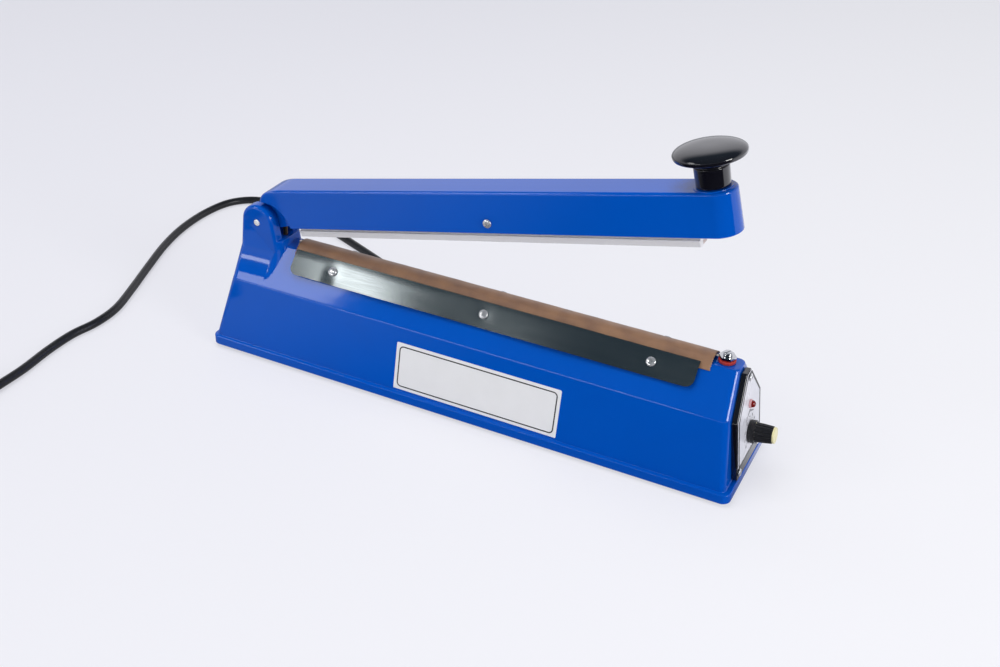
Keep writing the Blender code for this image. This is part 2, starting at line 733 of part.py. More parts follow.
def upright(body, place, radius, low, high, count=SMALL_ROUND):
    """Upright round bar at a place measured from the hinge end and the middle line."""
    def placed(a, b, c):
        return world(place[0] + a, place[1] + b, c)
    return lathe(body, [(radius, low), (radius, high)], count, placed)


def crosswise(body, place, profile, count=SMALL_ROUND):
    """Turned shape whose axis runs across the housing at (distance, height)."""
    def placed(a, b, c):
        return world(place[0] + a, c, place[1] + b)
    return lathe(body, profile, count, placed)


def slope_frame(side):
    """Edge of the deck and the unit ways down a slope and out of it, as (half, height) pairs."""
    crease = Vector((CREASE_HALF_WIDTH, CREASE_Z))
    deck = Vector((DECK_HALF_WIDTH, DECK_Z))
    down = (crease - deck).normalized()
    out = Vector((-down.y, down.x))

    def placed(a, b, c):
        spot = deck + down * b + out * c
        return world(a, side * spot.x, spot.y)
    return placed, (crease - deck).length


def slope_bar(body, side, place, down, profile, count=SMALL_ROUND):
    """Turned shape that stands square on a slope."""
    placed, _ = slope_frame(side)

    def spot(a, b, c):
        return placed(place + a, down + b, c)
    return lathe(body, profile, count, spot)


def panel_point(across, up, out):
    """Place on the end face: across it, up along it from the ledge, and out of it."""
    c, s = math.cos(PANEL_LEAN), math.sin(PANEL_LEAN)
    return world(BASE_LENGTH - PANEL_END_LEDGE + out * c - up * s, across, LEDGE_Z + out * s + up * c)


def face_height(level):
    return (level - LEDGE_Z) / math.cos(PANEL_LEAN)


def panel_bar(body, place, profile, count=SMALL_ROUND):
    def placed(a, b, c):
        return panel_point(place[0] + a, place[1] + b, c)
    return lathe(body, profile, count, placed)


def panel_screw_places():
    low = face_height(PANEL_LOW_Z) + PANEL_SCREW_INSET
    reach = PANEL_HALF_WIDTH - PANEL_SCREW_INSET
    return [(0.0, face_height(PANEL_TOP_Z) - PANEL_SCREW_INSET), (-reach, low), (reach, low)]


def panel_holes(low, high):
    """Bores for the timer's neck, the lamp and the screws between two depths."""
    body = bmesh.new()
    panel_bar(body, (0.0, DIAL_KNOB_UP), [(POT_NECK_RADIUS + GAP, low), (POT_NECK_RADIUS + GAP, high)])
    lamp = LAMP_RADIUS - LAMP_LIP + GAP
    panel_bar(body, (0.0, face_height(LAMP_Z)), [(lamp, low), (lamp, high)])
    for place in panel_screw_places():
        bore = PANEL_SCREW_RADIUS + GAP
        panel_bar(body, place, [(bore, low), (bore, high)])
    return body


def plate_screw_down():
    _, length = slope_frame(1)
    return length * (1.0 - PLATE_SCREW_UP_SHARE)


def gland_face():
    """Distance from the middle line to the flat face of the lead's pad."""
    return read_off(side_profile(), GLAND_Z) + GLAND_PAD_PROUD


def cover_top():
    return FOOT_CLEARANCE + COVER_RISE + COVER_THICKNESS


def plunger_place():
    return PIN_FROM_END + PLUNGER_ALONG


def base_housing(look):
    made = finish("base_housing", housing_skin(), look)
    boolean(made, hinge_boss(), "UNION")
    boolean(made, hinge_ears(), "UNION")
    pad = bmesh.new()
    pad_root = read_off(side_profile(), GLAND_Z + GLAND_PAD_RADIUS) - BASE_WALL / 2
    crosswise(pad, (GLAND_PLACE, GLAND_Z),
              [(GLAND_PAD_RADIUS, pad_root), (GLAND_PAD_RADIUS, gland_face())], ROUND)
    boolean(made, pad, "UNION")
    boolean(made, housing_cavity())
    boolean(made, boss_cavity())
    posts = bmesh.new()
    for place in post_places():
        upright(posts, place, POST_RADIUS, post_low(), post_low() + POST_HEIGHT)
    boolean(made, posts, "UNION")
    boolean(made, housing_ribs(), "UNION")
    boolean(made, housing_bores())
    boolean(made, panel_holes(-BASE_WALL - OVERRUN, OVERRUN))
    return made


def housing_bores():
    """Bores for the pin, the screws, the band, the plunger and the lead."""
    body = bmesh.new()
    bore = PIN_RADIUS + GAP
    reach = EAR_HALF_WIDTH + OVERRUN
    crosswise(body, (PIN_FROM_END, PIN_Z), [(bore, -reach), (bore, reach)], ROUND)
    for place in post_places():
        upright(body, place, COVER_SCREW_RADIUS + GAP, cover_top() - OVERRUN,
                cover_top() + COVER_SCREW_LENGTH + GAP)
    for side in (-1, 1):
        for place in PLATE_SCREW_PLACES:
            bore = PLATE_SCREW_RADIUS + GAP
            slope_bar(body, side, place, plate_screw_down(), [(bore, -BASE_WALL - OVERRUN), (bore, OVERRUN)])
    deck_low = DECK_Z - BASE_WALL - OVERRUN
    upright(body, (TERMINAL_PLACE, 0.0), TERMINAL_SCREW_RADIUS + GAP, deck_low, DECK_Z + OVERRUN)
    half = BAND_HALF_WIDTH + GAP
    box(body, (BAND_DROP_START - GAP, -half, deck_low),
        (BAND_DROP_START + BAND_THICKNESS + GAP, half, DECK_Z + OVERRUN))
    upright(body, (plunger_place(), 0.0), PLUNGER_RADIUS + GAP, SLOT_FLOOR_Z - BASE_WALL - OVERRUN,
            SLOT_FLOOR_Z + OVERRUN)
    bore = GLAND_NECK_RADIUS + GAP
    root = read_off(side_profile(), GLAND_Z) - BASE_WALL - OVERRUN - OVERRUN
    crosswise(body, (GLAND_PLACE, GLAND_Z), [(bore, root), (bore, gland_face() + OVERRUN)], ROUND)
    return body


# Underside

def cover_outline(inset):
    half = BASE_WIDTH / 2 - inset
    return rounded_rectangle(inset, BASE_LENGTH - inset, -half, half, (CORNER_RADIUS - BASE_WALL,) * 4)


def bottom_cover(look):
    low = FOOT_CLEARANCE + COVER_RISE
    body = prism(bmesh.new(), cover_outline(BASE_WALL + COVER_CLEARANCE), low, low + COVER_THICKNESS, world)
    made = finish("bottom_cover", body, look)
    holes = bmesh.new()
    for place in post_places():
        upright(holes, place, COVER_SCREW_RADIUS + GAP, low - OVERRUN, low + OVERRUN)
    boolean(made, holes)
    return made


def cover_screws(look):
    under = FOOT_CLEARANCE + COVER_RISE - GAP
    for number, place in enumerate(post_places(), 1):
        def placed(a, b, c, spot=place):
            return world(spot[0] + a, spot[1] + b, c)
        rim = COVER_SCREW_HEAD_RADIUS
        profile = [
            (rim - COVER_SCREW_HEAD_HEIGHT / 2, under - COVER_SCREW_HEAD_HEIGHT),
            (rim, under - COVER_SCREW_HEAD_HEIGHT / 2),
            (rim, under),
            (COVER_SCREW_RADIUS, under),
            (COVER_SCREW_RADIUS, under + COVER_SCREW_LENGTH),
        ]
        finish(f"cover_screw_{number}", lathe(bmesh.new(), profile, SMALL_ROUND, placed), look)


def rubber_feet(look):
    top = FOOT_CLEARANCE + COVER_RISE - GAP
    reach = BASE_WIDTH / 2 - FOOT_INSET_ACROSS
    places = [(a, b) for a in (FOOT_INSET_ALONG, BASE_LENGTH - FOOT_INSET_ALONG) for b in (-reach, reach)]
    for number, place in enumerate(places, 1):
        def placed(a, b, c, spot=place):
            return world(spot[0] + a, spot[1] + b, c)
        edge = top / 4
        profile = [(FOOT_RADIUS - edge, 0.0), (FOOT_RADIUS, edge), (FOOT_RADIUS, top)]
        finish(f"rubber_foot_{number}", lathe(bmesh.new(), profile, ROUND, placed), look)


# Sealing line

def clamp_plates(look):
    """Two steel plates that hold the cloth's edges down on the slopes."""
    under = GAP + CLOTH_THICKNESS + GAP
    for name, side in (("clamp_plate_front", -1), ("clamp_plate_rear", 1)):
        placed, length = slope_frame(side)
        reach = length * (1.0 - PLATE_LOW_SHARE)
        top = PLATE_THICKNESS / 2
        radii = (top, top, PLATE_CORNER_RADIUS, PLATE_CORNER_RADIUS)
        outline = rounded_rectangle(PLATE_START, PLATE_END, 0.0, reach, radii)
        made = finish(name, prism(bmesh.new(), outline, under, under + PLATE_THICKNESS, placed), look)
        holes = bmesh.new()
        for place in PLATE_SCREW_PLACES:
            bore = PLATE_SCREW_RADIUS + GAP
            slope_bar(holes, side, place, plate_screw_down(), [(bore, 0.0), (bore, under + OVERRUN)])
        boolean(made, holes)


def plate_screws(look):
    seat = GAP + CLOTH_THICKNESS + GAP + PLATE_THICKNESS + GAP
    number = 0
    for side in (-1, 1):
        for place in PLATE_SCREW_PLACES:
            number += 1
            rim = PLATE_SCREW_HEAD_RADIUS
            crown = PLATE_SCREW_HEAD_HEIGHT / 2
            profile = [
                (PLATE_SCREW_RADIUS, seat - PLATE_SCREW_GRIP),
                (PLATE_SCREW_RADIUS, seat),
                (rim, seat),
                (rim, seat + crown / 2),
                (rim - crown / 2, seat + crown + crown / 2),
                (rim / 2, seat + PLATE_SCREW_HEAD_HEIGHT),
            ]
            body = slope_bar(bmesh.new(), side, place, plate_screw_down(), profile)
            finish(f"plate_screw_{number}", body, look)


def insulating_strip(look):
    round_off = INSULATOR_HEIGHT / 4
    half = INSULATOR_HALF_WIDTH
    radii = (0.0, 0.0, round_off, round_off)
    outline = rounded_rectangle(-half, half, INSULATOR_Z, INSULATOR_Z + INSULATOR_HEIGHT, radii, 2)
    outline = tidy_outline(outline)

    def placed(a, b, c):
        return world(c, a, b)
    finish("insulating_strip", prism(bmesh.new(), outline, INSULATOR_START, INSULATOR_END, placed), look)


def tidy_outline(outline):
    """Outline without points that repeat the one before."""
    kept = []
    for point in outline:
        if not kept or math.dist(point, kept[-1]) > SAME_POINT:
            kept.append(point)
    return kept


def heating_element(look):
    """Flat band with a round tab at the terminal and a leg that drops through the deck."""
    body = bmesh.new()
    half = BAND_HALF_WIDTH
    bend = BAND_DROP_START + BAND_THICKNESS
    spread = math.asin(half / BAND_TAB_RADIUS)
    tab = arc((TERMINAL_PLACE, 0.0), BAND_TAB_RADIUS, spread - math.pi, math.pi - spread, ROUND)
    low = BAND_Z
    corners = [(BAND_DROP_START, -half), (bend, -half), (bend, half), (BAND_DROP_START, half)]
    root = [body.verts.new(world(a, b, low)) for a, b in corners]
    rest = [body.verts.new(world(a, b, low)) for a, b in tab]
    foot = body.faces.new(root)
    body.faces.new([root[1], *rest, root[2]])
    lifted = bmesh.ops.extrude_face_region(body, geom=list(body.faces), use_keep_orig=True)
    moved = [item for item in lifted["geom"] if isinstance(item, bmesh.types.BMVert)]
    bmesh.ops.translate(body, vec=(0.0, 0.0, BAND_THICKNESS), verts=moved)
    dropped = bmesh.ops.extrude_discrete_faces(body, faces=[foot])["faces"][0]
    bmesh.ops.translate(body, vec=(0.0, 0.0, -BAND_DROP), verts=list(dropped.verts))
    made = finish("heating_element", body, look)
    hole = bmesh.new()
    upright(hole, (TERMINAL_PLACE, 0.0), TERMINAL_SCREW_RADIUS + GAP, low - OVERRUN, low + OVERRUN)
    boolean(made, hole)


def ptfe_cloth(look):
    """Release cloth laid over the band, with both edges tucked under the plates."""
    middle = CLOTH_Z + CLOTH_THICKNESS / 2
    lie = GAP + CLOTH_THICKNESS / 2
    side = side_profile()
    foot = offset_corner(side[3], side[2], side[1], lie)
    run = (Vector(side[1]) - Vector(side[2])).normalized() * CLOTH_TUCK
    shoulder = INSULATOR_HALF_WIDTH + GAP + CLOTH_THICKNESS
    half = [
        (foot[0] + run.x, foot[1] + run.y),
        foot,
        (shoulder, INSULATOR_Z + INSULATOR_HEIGHT / 2),
        (shoulder - GAP, middle - GAP - GAP),
        (INSULATOR_HALF_WIDTH - GAP, middle),
    ]
    line = half + [(-a, b) for a, b in reversed(half)]
    low = offset_line(line, -CLOTH_THICKNESS / 2)
    high = offset_line(line, CLOTH_THICKNESS / 2)

    def placed(a, b, c):
        return world(c, a, b)
    body = prism(bmesh.new(), low + high[::-1], CLOTH_START, CLOTH_END, placed)
    finish("ptfe_cloth", body, look)


def element_spring(look):
    """Upright coil under the deck that keeps the hot band tight."""
    low_hook = ELEMENT_SPRING_WIRE + GAP
    top = BAND_Z - BAND_DROP - low_hook
    bottom = top - ELEMENT_SPRING_LENGTH
    steps = ELEMENT_SPRING_TURNS * WIRE_STEPS_PER_TURN
    points = []
    for i in range(steps + 1):
        angle = math.tau * ELEMENT_SPRING_TURNS * i / steps
        level = top + (bottom - top) * i / steps
        points.append(world(BAND_DROP_START + ELEMENT_SPRING_RADIUS * math.cos(angle),
                            ELEMENT_SPRING_RADIUS * math.sin(angle), level))
    anchor = BAND_DROP_START + ANCHOR_RIB_OFFSET - GAP
    leg = points[-1].copy()
    leg.x = along(anchor)
    leg.z -= ELEMENT_SPRING_WIRE
    points.append(leg)
    print("element spring gap", least_gap(points, ELEMENT_SPRING_WIRE, math.pi * ELEMENT_SPRING_RADIUS))
    tube("element_spring", points, ELEMENT_SPRING_WIRE, look, 1)


def terminal(washer_look, cup_look, screw_look):
    """Stack that clamps the band's tab: insulating washer, cup washer and screw."""
    bore = TERMINAL_SCREW_RADIUS + GAP

    def placed(a, b, c):
        return world(TERMINAL_PLACE + a, b, c)
    edge = INSULATOR_HEIGHT / 4
    low = INSULATOR_Z
    high = low + INSULATOR_HEIGHT
    rim = TERMINAL_WASHER_RADIUS
    washer = [(bore, low), (rim, low), (rim, high - edge), (rim - edge, high), (bore, high)]
    finish("terminal_washer", lathe(bmesh.new(), washer, ROUND, placed, True), washer_look)
    low = BAND_Z + BAND_THICKNESS + GAP
    high = low + TERMINAL_CUP_HEIGHT
    rim = TERMINAL_CUP_RADIUS
    cup = [(bore, low), (rim, low), (rim, low + edge), (rim - TERMINAL_CUP_HEIGHT, high), (bore, high)]
    finish("terminal_cup", lathe(bmesh.new(), cup, ROUND, placed, True), cup_look)
    seat = high + GAP
    crown = TERMINAL_HEAD_HEIGHT / 4
    rim = TERMINAL_HEAD_RADIUS
    screw = [
        (TERMINAL_SCREW_RADIUS, seat - TERMINAL_SHANK),
        (TERMINAL_SCREW_RADIUS, seat),
        (rim, seat),
        (rim, seat + TERMINAL_HEAD_HEIGHT / 2),
        (rim - crown, seat + TERMINAL_HEAD_HEIGHT - crown / 2),
        (rim / 2, seat + TERMINAL_HEAD_HEIGHT),
    ]
    finish("terminal_screw", lathe(bmesh.new(), screw, ROUND, placed), screw_look)


# Hinge and arm

def hinge_pin(look):
    reach = EAR_HALF_WIDTH + PIN_PROUD
    edge = PIN_PROUD / 2
    profile = [(PIN_RADIUS - edge, -reach), (PIN_RADIUS, edge - reach), (PIN_RADIUS, reach - edge),
               (PIN_RADIUS - edge, reach)]
    finish("hinge_pin", crosswise(bmesh.new(), (PIN_FROM_END, PIN_Z), profile, ROUND), look)


def return_spring(look):
    """Torsion coil round the pin; one leg stands on the housing, one lifts the arm."""
    end = math.tau * RETURN_SPRING_TURNS + math.tau + ARM_OPEN_ANGLE - RETURN_SPRING_LEG_LEAN
    reach = lug_inner() - GAP - GAP - GAP - RETURN_SPRING_WIRE
    steps = (RETURN_SPRING_TURNS + 1) * WIRE_STEPS_PER_TURN
    floor = SLOT_FLOOR_Z + GAP + RETURN_SPRING_WIRE
    points = [world(PIN_FROM_END + RETURN_SPRING_RADIUS, -reach, floor)]
    for i in range(steps + 1):
        angle = end * i / steps
        points.append(world(PIN_FROM_END + RETURN_SPRING_RADIUS * math.cos(angle),
                            -reach + (reach + reach) * i / steps,
                            PIN_Z + RETURN_SPRING_RADIUS * math.sin(angle)))
    ceiling = ARM_TOP - ARM_WALL - GAP - RETURN_SPRING_WIRE
    low = -RETURN_SPRING_RADIUS * math.sin(RETURN_SPRING_LEG_LEAN)
    length = (ceiling - low) / math.cos(RETURN_SPRING_LEG_LEAN)
    way = end + math.pi / 2
    last = points[-1]
    points.append(last + Vector((math.cos(way) * length, 0.0, math.sin(way) * length)))
    print("return spring gap", least_gap(points, RETURN_SPRING_WIRE, math.pi * RETURN_SPRING_RADIUS))
    tube("return_spring", points, RETURN_SPRING_WIRE, look, 1)


def lug_inner():
    """Distance from the middle line to the inner faces of the arm's lugs."""
    return EAR_SLOT_HALF_WIDTH - GAP - GAP / 2 - LUG_THICKNESS


def arm_half_width(height):
    share = (height - ARM_BOTTOM) / (ARM_TOP - ARM_BOTTOM)
    return ARM_HALF_WIDTH_BOTTOM + (ARM_HALF_WIDTH_TOP - ARM_HALF_WIDTH_BOTTOM) * share


def arm_start(height):
    levels = (ARM_TAIL_LOW_HEIGHT, ARM_TAIL_MID_HEIGHT, ARM_TOP)
    return float(np.interp(height, levels, (ARM_TAIL_LOW, ARM_TAIL_MID, ARM_TAIL_TOP)))


def arm_ring(height, inset, shift=0.0):
    """Plan outline of the arm: square tail with soft corners and a round free end."""
    half = arm_half_width(height) - inset
    start = arm_start(height) + inset
    corner = ARM_TAIL_CORNER
    outline = arc((ARM_KNOB_CENTRE, 0.0), half, -math.pi / 2, math.pi / 2, ROUND // 2)
    outline += arc((start + corner, half - corner), corner, math.pi / 2, math.pi, 3)
    outline += arc((start + corner, corner - half), corner, math.pi, math.pi * 3 / 2, 3)
    return [plain(a, b, height + shift) for a, b in outline]


def arm_skin():
    rings = [arm_ring(height, 0.0) for height in (ARM_BOTTOM, ARM_TAIL_LOW_HEIGHT, ARM_TAIL_MID_HEIGHT)]
    for a, b in arc((0.0, 0.0), ARM_EDGE_RADIUS, 0.0, math.pi / 2, 4):
        rings.append(arm_ring(ARM_TOP - ARM_EDGE_RADIUS + b, ARM_EDGE_RADIUS - a))
    return loft(bmesh.new(), rings)


def arm_cavity():
    rings = [
        arm_ring(ARM_BOTTOM, ARM_WALL, -OVERRUN),
        arm_ring(ARM_TAIL_LOW_HEIGHT, ARM_WALL),
        arm_ring(ARM_TAIL_MID_HEIGHT, ARM_WALL),
        arm_ring(ARM_TOP - ARM_WALL, ARM_WALL),
    ]
    return loft(bmesh.new(), rings)


def lug_outline():
    """Side view of a lug: round under the pin, then wide up to the arm's ceiling."""
    top = ARM_TOP - ARM_WALL / 2
    left = (arm_start(top) + ARM_WALL, top)
    right = (LUG_END, HEEL_HEIGHT)
    start = tangent((0.0, 0.0), LUG_RADIUS, left, 1) % math.tau
    end = tangent((0.0, 0.0), LUG_RADIUS, right, -1) % math.tau
    return arc((0.0, 0.0), LUG_RADIUS, start, end, ARC_STEPS) + [right, (LUG_END, top), left]


def arm_lugs():
    def placed(a, b, c):
        return plain(a, c, b)
    body = bmesh.new()
    inner = lug_inner()
    for side in (-1, 1):
        prism(body, lug_outline(), side * inner, side * (inner + LUG_THICKNESS), placed)
    return body


def arm_heel():
    """Web between the lugs that presses the switch plunger."""
    def placed(a, b, c):
        return plain(a, c, b)
    half = lug_inner() + LUG_THICKNESS / 2
    high = HEEL_HEIGHT + HEEL_THICKNESS
    end = LUG_END - GAP
    outline = [(HEEL_START, HEEL_HEIGHT), (end, HEEL_HEIGHT), (end, high), (HEEL_START, high)]
    return prism(bmesh.new(), outline, -half, half, placed)


def arm_crossbar(body, place, profile, count=SMALL_ROUND):
    """Turned shape whose axis runs across the arm at (along, height)."""
    def placed(a, b, c):
        return plain(place[0] + a, c, place[1] + b)
    return lathe(body, profile, count, placed)


def arm_upright(body, profile, count=SMALL_ROUND):
    """Turned shape that stands on the arm at the handle's centre."""
    def placed(a, b, c):
        return plain(ARM_KNOB_CENTRE + a, b, c)
    return lathe(body, profile, count, placed)


def arm_shell(look, pivot):
    made = finish("arm_shell", arm_skin(), look, pivot)
    boolean(made, arm_cavity())
    notch = bmesh.new()
    reach = ARM_HALF_WIDTH_BOTTOM + OVERRUN
    arm_crossbar(notch, (NOTCH_CENTRE_ALONG, NOTCH_CENTRE_HEIGHT),
                 [(NOTCH_RADIUS, -reach), (NOTCH_RADIUS, reach)], LARGE_ROUND)
    boolean(made, notch)
    boolean(made, arm_lugs(), "UNION")
    boolean(made, arm_heel(), "UNION")
    land = bmesh.new()
    arm_upright(land, [(KNOB_LAND_RADIUS, ARM_TOP - ARM_WALL / 2),
                       (KNOB_LAND_RADIUS, ARM_TOP + KNOB_LAND_HEIGHT)], ROUND)
    boolean(made, land, "UNION")
    bores = bmesh.new()
    bore = PIN_RADIUS + GAP
    arm_crossbar(bores, (0.0, 0.0), [(bore, -reach), (bore, reach)], ROUND)
    bore = BAR_SCREW_RADIUS + GAP
    arm_crossbar(bores, (BAR_SCREW_ALONG, BAR_SCREW_HEIGHT), [(bore, -reach), (bore, reach)])
    bore = KNOB_BOLT_RADIUS + GAP
    arm_upright(bores, [(bore, ARM_TOP - ARM_WALL - OVERRUN), (bore, ARM_TOP + OVERRUN)])
    boolean(made, bores)


def pressing_bar(look, pivot):
    """Channel with a narrower lip below and a groove for the rubber strip."""
    half = BAR_HALF_WIDTH
    lip = BAR_LIP_HALF_WIDTH
    groove = STRIP_HALF_WIDTH + GAP
    groove_top = BAR_BOTTOM + STRIP_DEPTH + GAP
    lip_top = BAR_BOTTOM + BAR_LIP_HEIGHT
    inner = half - BAR_WEB
    right = [(groove, groove_top), (groove, BAR_BOTTOM), (lip, BAR_BOTTOM), (lip, lip_top), (half, lip_top),
             (half, BAR_TOP), (inner, BAR_TOP), (inner, lip_top + BAR_WEB)]
    outline = right + [(-a, b) for a, b in reversed(right)]

    def placed(a, b, c):
        return plain(c, a, b)
    made = finish("pressing_bar", prism(bmesh.new(), outline, BAR_START, BAR_END, placed), look, pivot)
    bores = bmesh.new()
    bore = BAR_SCREW_RADIUS + GAP
    reach = half + OVERRUN
    arm_crossbar(bores, (BAR_SCREW_ALONG, BAR_SCREW_HEIGHT), [(bore, -reach), (bore, reach)])
    boolean(made, bores)


def silicone_strip(look, pivot):
    half = STRIP_HALF_WIDTH
    edge = STRIP_PROUD / 2
    low = BAR_BOTTOM - STRIP_PROUD
    outline = [(edge - half, low), (half - edge, low), (half, low + edge), (half, BAR_BOTTOM + STRIP_DEPTH),
               (-half, BAR_BOTTOM + STRIP_DEPTH), (-half, low + edge)]

    def placed(a, b, c):
        return plain(c, a, b)
    finish("silicone_strip", prism(bmesh.new(), outline, BAR_START, BAR_END, placed), look, pivot)


def bar_fixing(look, pivot):
    """Screw that crosses the arm and the bar, and its nut."""
    place = (BAR_SCREW_ALONG, BAR_SCREW_HEIGHT)
    seat = arm_half_width(BAR_SCREW_HEIGHT - BAR_SCREW_HEAD_RADIUS) + GAP
    rim = BAR_SCREW_HEAD_RADIUS
    crown = BAR_SCREW_HEAD_HEIGHT / 2
    end = seat + BAR_NUT_THICKNESS + BAR_SCREW_END
    top = -seat - BAR_SCREW_HEAD_HEIGHT
    profile = [(rim / 2, top), (rim - crown / 2, top + crown / 2), (rim, -seat - crown), (rim, -seat),
               (BAR_SCREW_RADIUS, -seat), (BAR_SCREW_RADIUS, end)]
    finish("bar_screw", arm_crossbar(bmesh.new(), place, profile), look, pivot)

    def placed(a, b, c):
        return plain(place[0] + a, c, place[1] + b)
    rings = []
    bore = BAR_SCREW_RADIUS + GAP
    for radius, depth in ((bore, seat), (BAR_NUT_RADIUS, seat), (BAR_NUT_RADIUS, seat + BAR_NUT_THICKNESS),
                          (bore, seat + BAR_NUT_THICKNESS)):
        rings.append([placed(a, b, depth) for a, b in nut_ring(radius, bore)])
    finish("bar_nut", loft(bmesh.new(), rings, True), look, pivot)


def nut_ring(radius, bore, sides=6, steps=3):
    """Circle for the bore, hexagon for the outside, with equal point counts."""
    if radius == bore:
        return circle(bore, sides * steps)
    corners = circle(radius, sides)
    points = []
    for k, corner in enumerate(corners):
        after = corners[(k + 1) % sides]
        for i in range(steps):
            share = i / steps
            points.append(tuple(Vector(corner).lerp(Vector(after), share)))
    return points


def handle_knob(look, pivot):
    """Mushroom handle: straight stem, undercut neck and a flat domed cap with a round rim."""
    base = ARM_TOP + KNOB_LAND_HEIGHT + GAP
    bore = KNOB_BOLT_RADIUS + GAP
    profile = [(bore, KNOB_BOLT_DEPTH + GAP), (bore, 0.0), (KNOB_STEM_RADIUS, 0.0),
               (KNOB_STEM_TOP_RADIUS, KNOB_STEM_HEIGHT), (KNOB_NECK_RADIUS, KNOB_NECK_HEIGHT)]
    centre = (KNOB_RIM_RADIUS - KNOB_EDGE, KNOB_RIM_HEIGHT)
    profile += arc(centre, KNOB_EDGE, -math.pi / 2, KNOB_EDGE_RISE, 6)
    reach, level = profile[-1]
    for share in KNOB_DOME_SHARES:
        profile.append((reach * share, level + (KNOB_TOP_HEIGHT - level) * (1.0 - share * share)))
    lifted = [(radius, base + height) for radius, height in profile]
    finish("handle_knob", arm_upright(bmesh.new(), lifted, LARGE_ROUND), look, pivot)


def knob_bolt(look, pivot):
    """Bolt from inside the arm up into the handle."""
    base = ARM_TOP + KNOB_LAND_HEIGHT + GAP
    seat = ARM_TOP - ARM_WALL - GAP
    rim = KNOB_BOLT_HEAD_RADIUS
    edge = KNOB_BOLT_HEAD_HEIGHT / 4
    profile = [(rim - edge, seat - KNOB_BOLT_HEAD_HEIGHT), (rim, seat - KNOB_BOLT_HEAD_HEIGHT + edge),
               (rim, seat), (KNOB_BOLT_RADIUS, seat), (KNOB_BOLT_RADIUS, base + KNOB_BOLT_DEPTH)]
    finish("knob_bolt", arm_upright(bmesh.new(), profile), look, pivot)


# End panel

def rounded_outline(points, radius, steps=3):
    """Outline of pairs with every corner rounded."""
    outline = []
    for i, point in enumerate(points):
        outline += fillet(points[i - 1], point, points[(i + 1) % len(points)], radius, steps)
    return outline


def panel_outline(margin, low_margin):
    low = face_height(PANEL_LOW_Z) + low_margin
    shoulder = face_height(PANEL_SHOULDER_Z)
    high = face_height(PANEL_TOP_Z) - margin
    half = PANEL_HALF_WIDTH - margin
    top = PANEL_TOP_HALF_WIDTH - margin / 2
    points = [(-half, low), (half, low), (half, shoulder), (top, high), (-top, high), (-half, shoulder)]
    return rounded_outline(points, PANEL_CORNER_RADIUS)


def panel_plates(panel_look, dial_look):
    plates = (("panel_plate", (0.0, 0.0), GAP, PANEL_THICKNESS, panel_look),
              ("dial_plate", (DIAL_MARGIN, DIAL_LOW_MARGIN), PANEL_FACE + GAP, DIAL_THICKNESS, dial_look))
    for name, margins, low, thickness, look in plates:
        body = prism(bmesh.new(), panel_outline(*margins), low, low + thickness, panel_point)
        made = finish(name, body, look)
        boolean(made, panel_holes(-OVERRUN, DIAL_FACE + OVERRUN))


def panel_screws(look):
    """The top screw sits on the dial and the lower two on the bare panel below it."""
    rim = PANEL_SCREW_HEAD_RADIUS
    crown = PANEL_SCREW_HEAD_HEIGHT / 2
    for number, place in enumerate(panel_screw_places(), 1):
        seat = (DIAL_FACE if number == 1 else PANEL_FACE) + GAP
        profile = [(PANEL_SCREW_RADIUS, -BASE_WALL), (PANEL_SCREW_RADIUS, seat), (rim, seat),
                   (rim, seat + crown), (rim - crown, seat + PANEL_SCREW_HEAD_HEIGHT)]
        finish(f"panel_screw_{number}", panel_bar(bmesh.new(), place, profile), look)


def indicator_lamp(look):
    seat = DIAL_FACE + GAP
    stem = LAMP_RADIUS - LAMP_LIP
    profile = [(stem, -LAMP_DEPTH), (stem, seat), (LAMP_RADIUS, seat)]
    for out, rise in arc((0.0, 0.0), LAMP_RADIUS, LAMP_DOME_START, LAMP_DOME_END, 4):
        profile.append((out, seat + rise * LAMP_PROUD / LAMP_RADIUS))
    finish("indicator_lamp", panel_bar(bmesh.new(), (0.0, face_height(LAMP_Z)), profile, MEDIUM_ROUND), look)


def timer_pivot():
    pivot = bpy.data.objects.new("timer_axis", None)
    bpy.context.scene.collection.objects.link(pivot)
    pivot.location = panel_point(0.0, DIAL_KNOB_UP, 0.0)
    pivot.rotation_euler = (0.0, math.pi / 2 - PANEL_LEAN, 0.0)
    return pivot


def fluted_circle(radius, depth):
    """Circle whose radius dips once for each flute."""
    count = DIAL_KNOB_FLUTES * 3
    points = []
    for i in range(count):
        angle = math.tau * i / count
        dip = depth * (1.0 - math.cos(DIAL_KNOB_FLUTES * angle)) / 2
        points.append(((radius - dip) * math.cos(angle), (radius - dip) * math.sin(angle)))
    return points


def timer_knob(look, pivot):
    """Fluted knob that narrows from a wide skirt, with a blind bore for its shaft and a seat for its cap."""
    base = DIAL_KNOB_BASE
    tip = base + DIAL_KNOB_LENGTH
    skirt = base + DIAL_KNOB_SKIRT_HEIGHT
    edge = DIAL_KNOB_FLUTE_DEPTH
    bore = SHAFT_RADIUS + GAP
    recess = DIAL_CAP_SPIGOT_RADIUS + GAP
    narrow = DIAL_KNOB_TIP_RADIUS
    profile = [
        (bore, base + SHAFT_GRIP, 0.0), (bore, base, 0.0), (DIAL_KNOB_SKIRT_RADIUS, base, 0.0),
        (DIAL_KNOB_SKIRT_RADIUS, skirt - edge, 0.0), (DIAL_KNOB_SKIRT_RADIUS - edge, skirt, 0.0),
        (DIAL_KNOB_RADIUS + edge, skirt, edge), (DIAL_KNOB_RADIUS, skirt + edge, edge),
        (narrow, tip - edge, edge), (narrow - edge, tip, edge / 2),
        (recess, tip, 0.0), (recess, tip - DIAL_CAP_SEAT, 0.0),
    ]
    rings = []
    for radius, height, depth in profile:
        rings.append([plain(a, b, height) for a, b in fluted_circle(radius, depth)])
    finish("timer_knob", loft(bmesh.new(), rings), look, pivot)


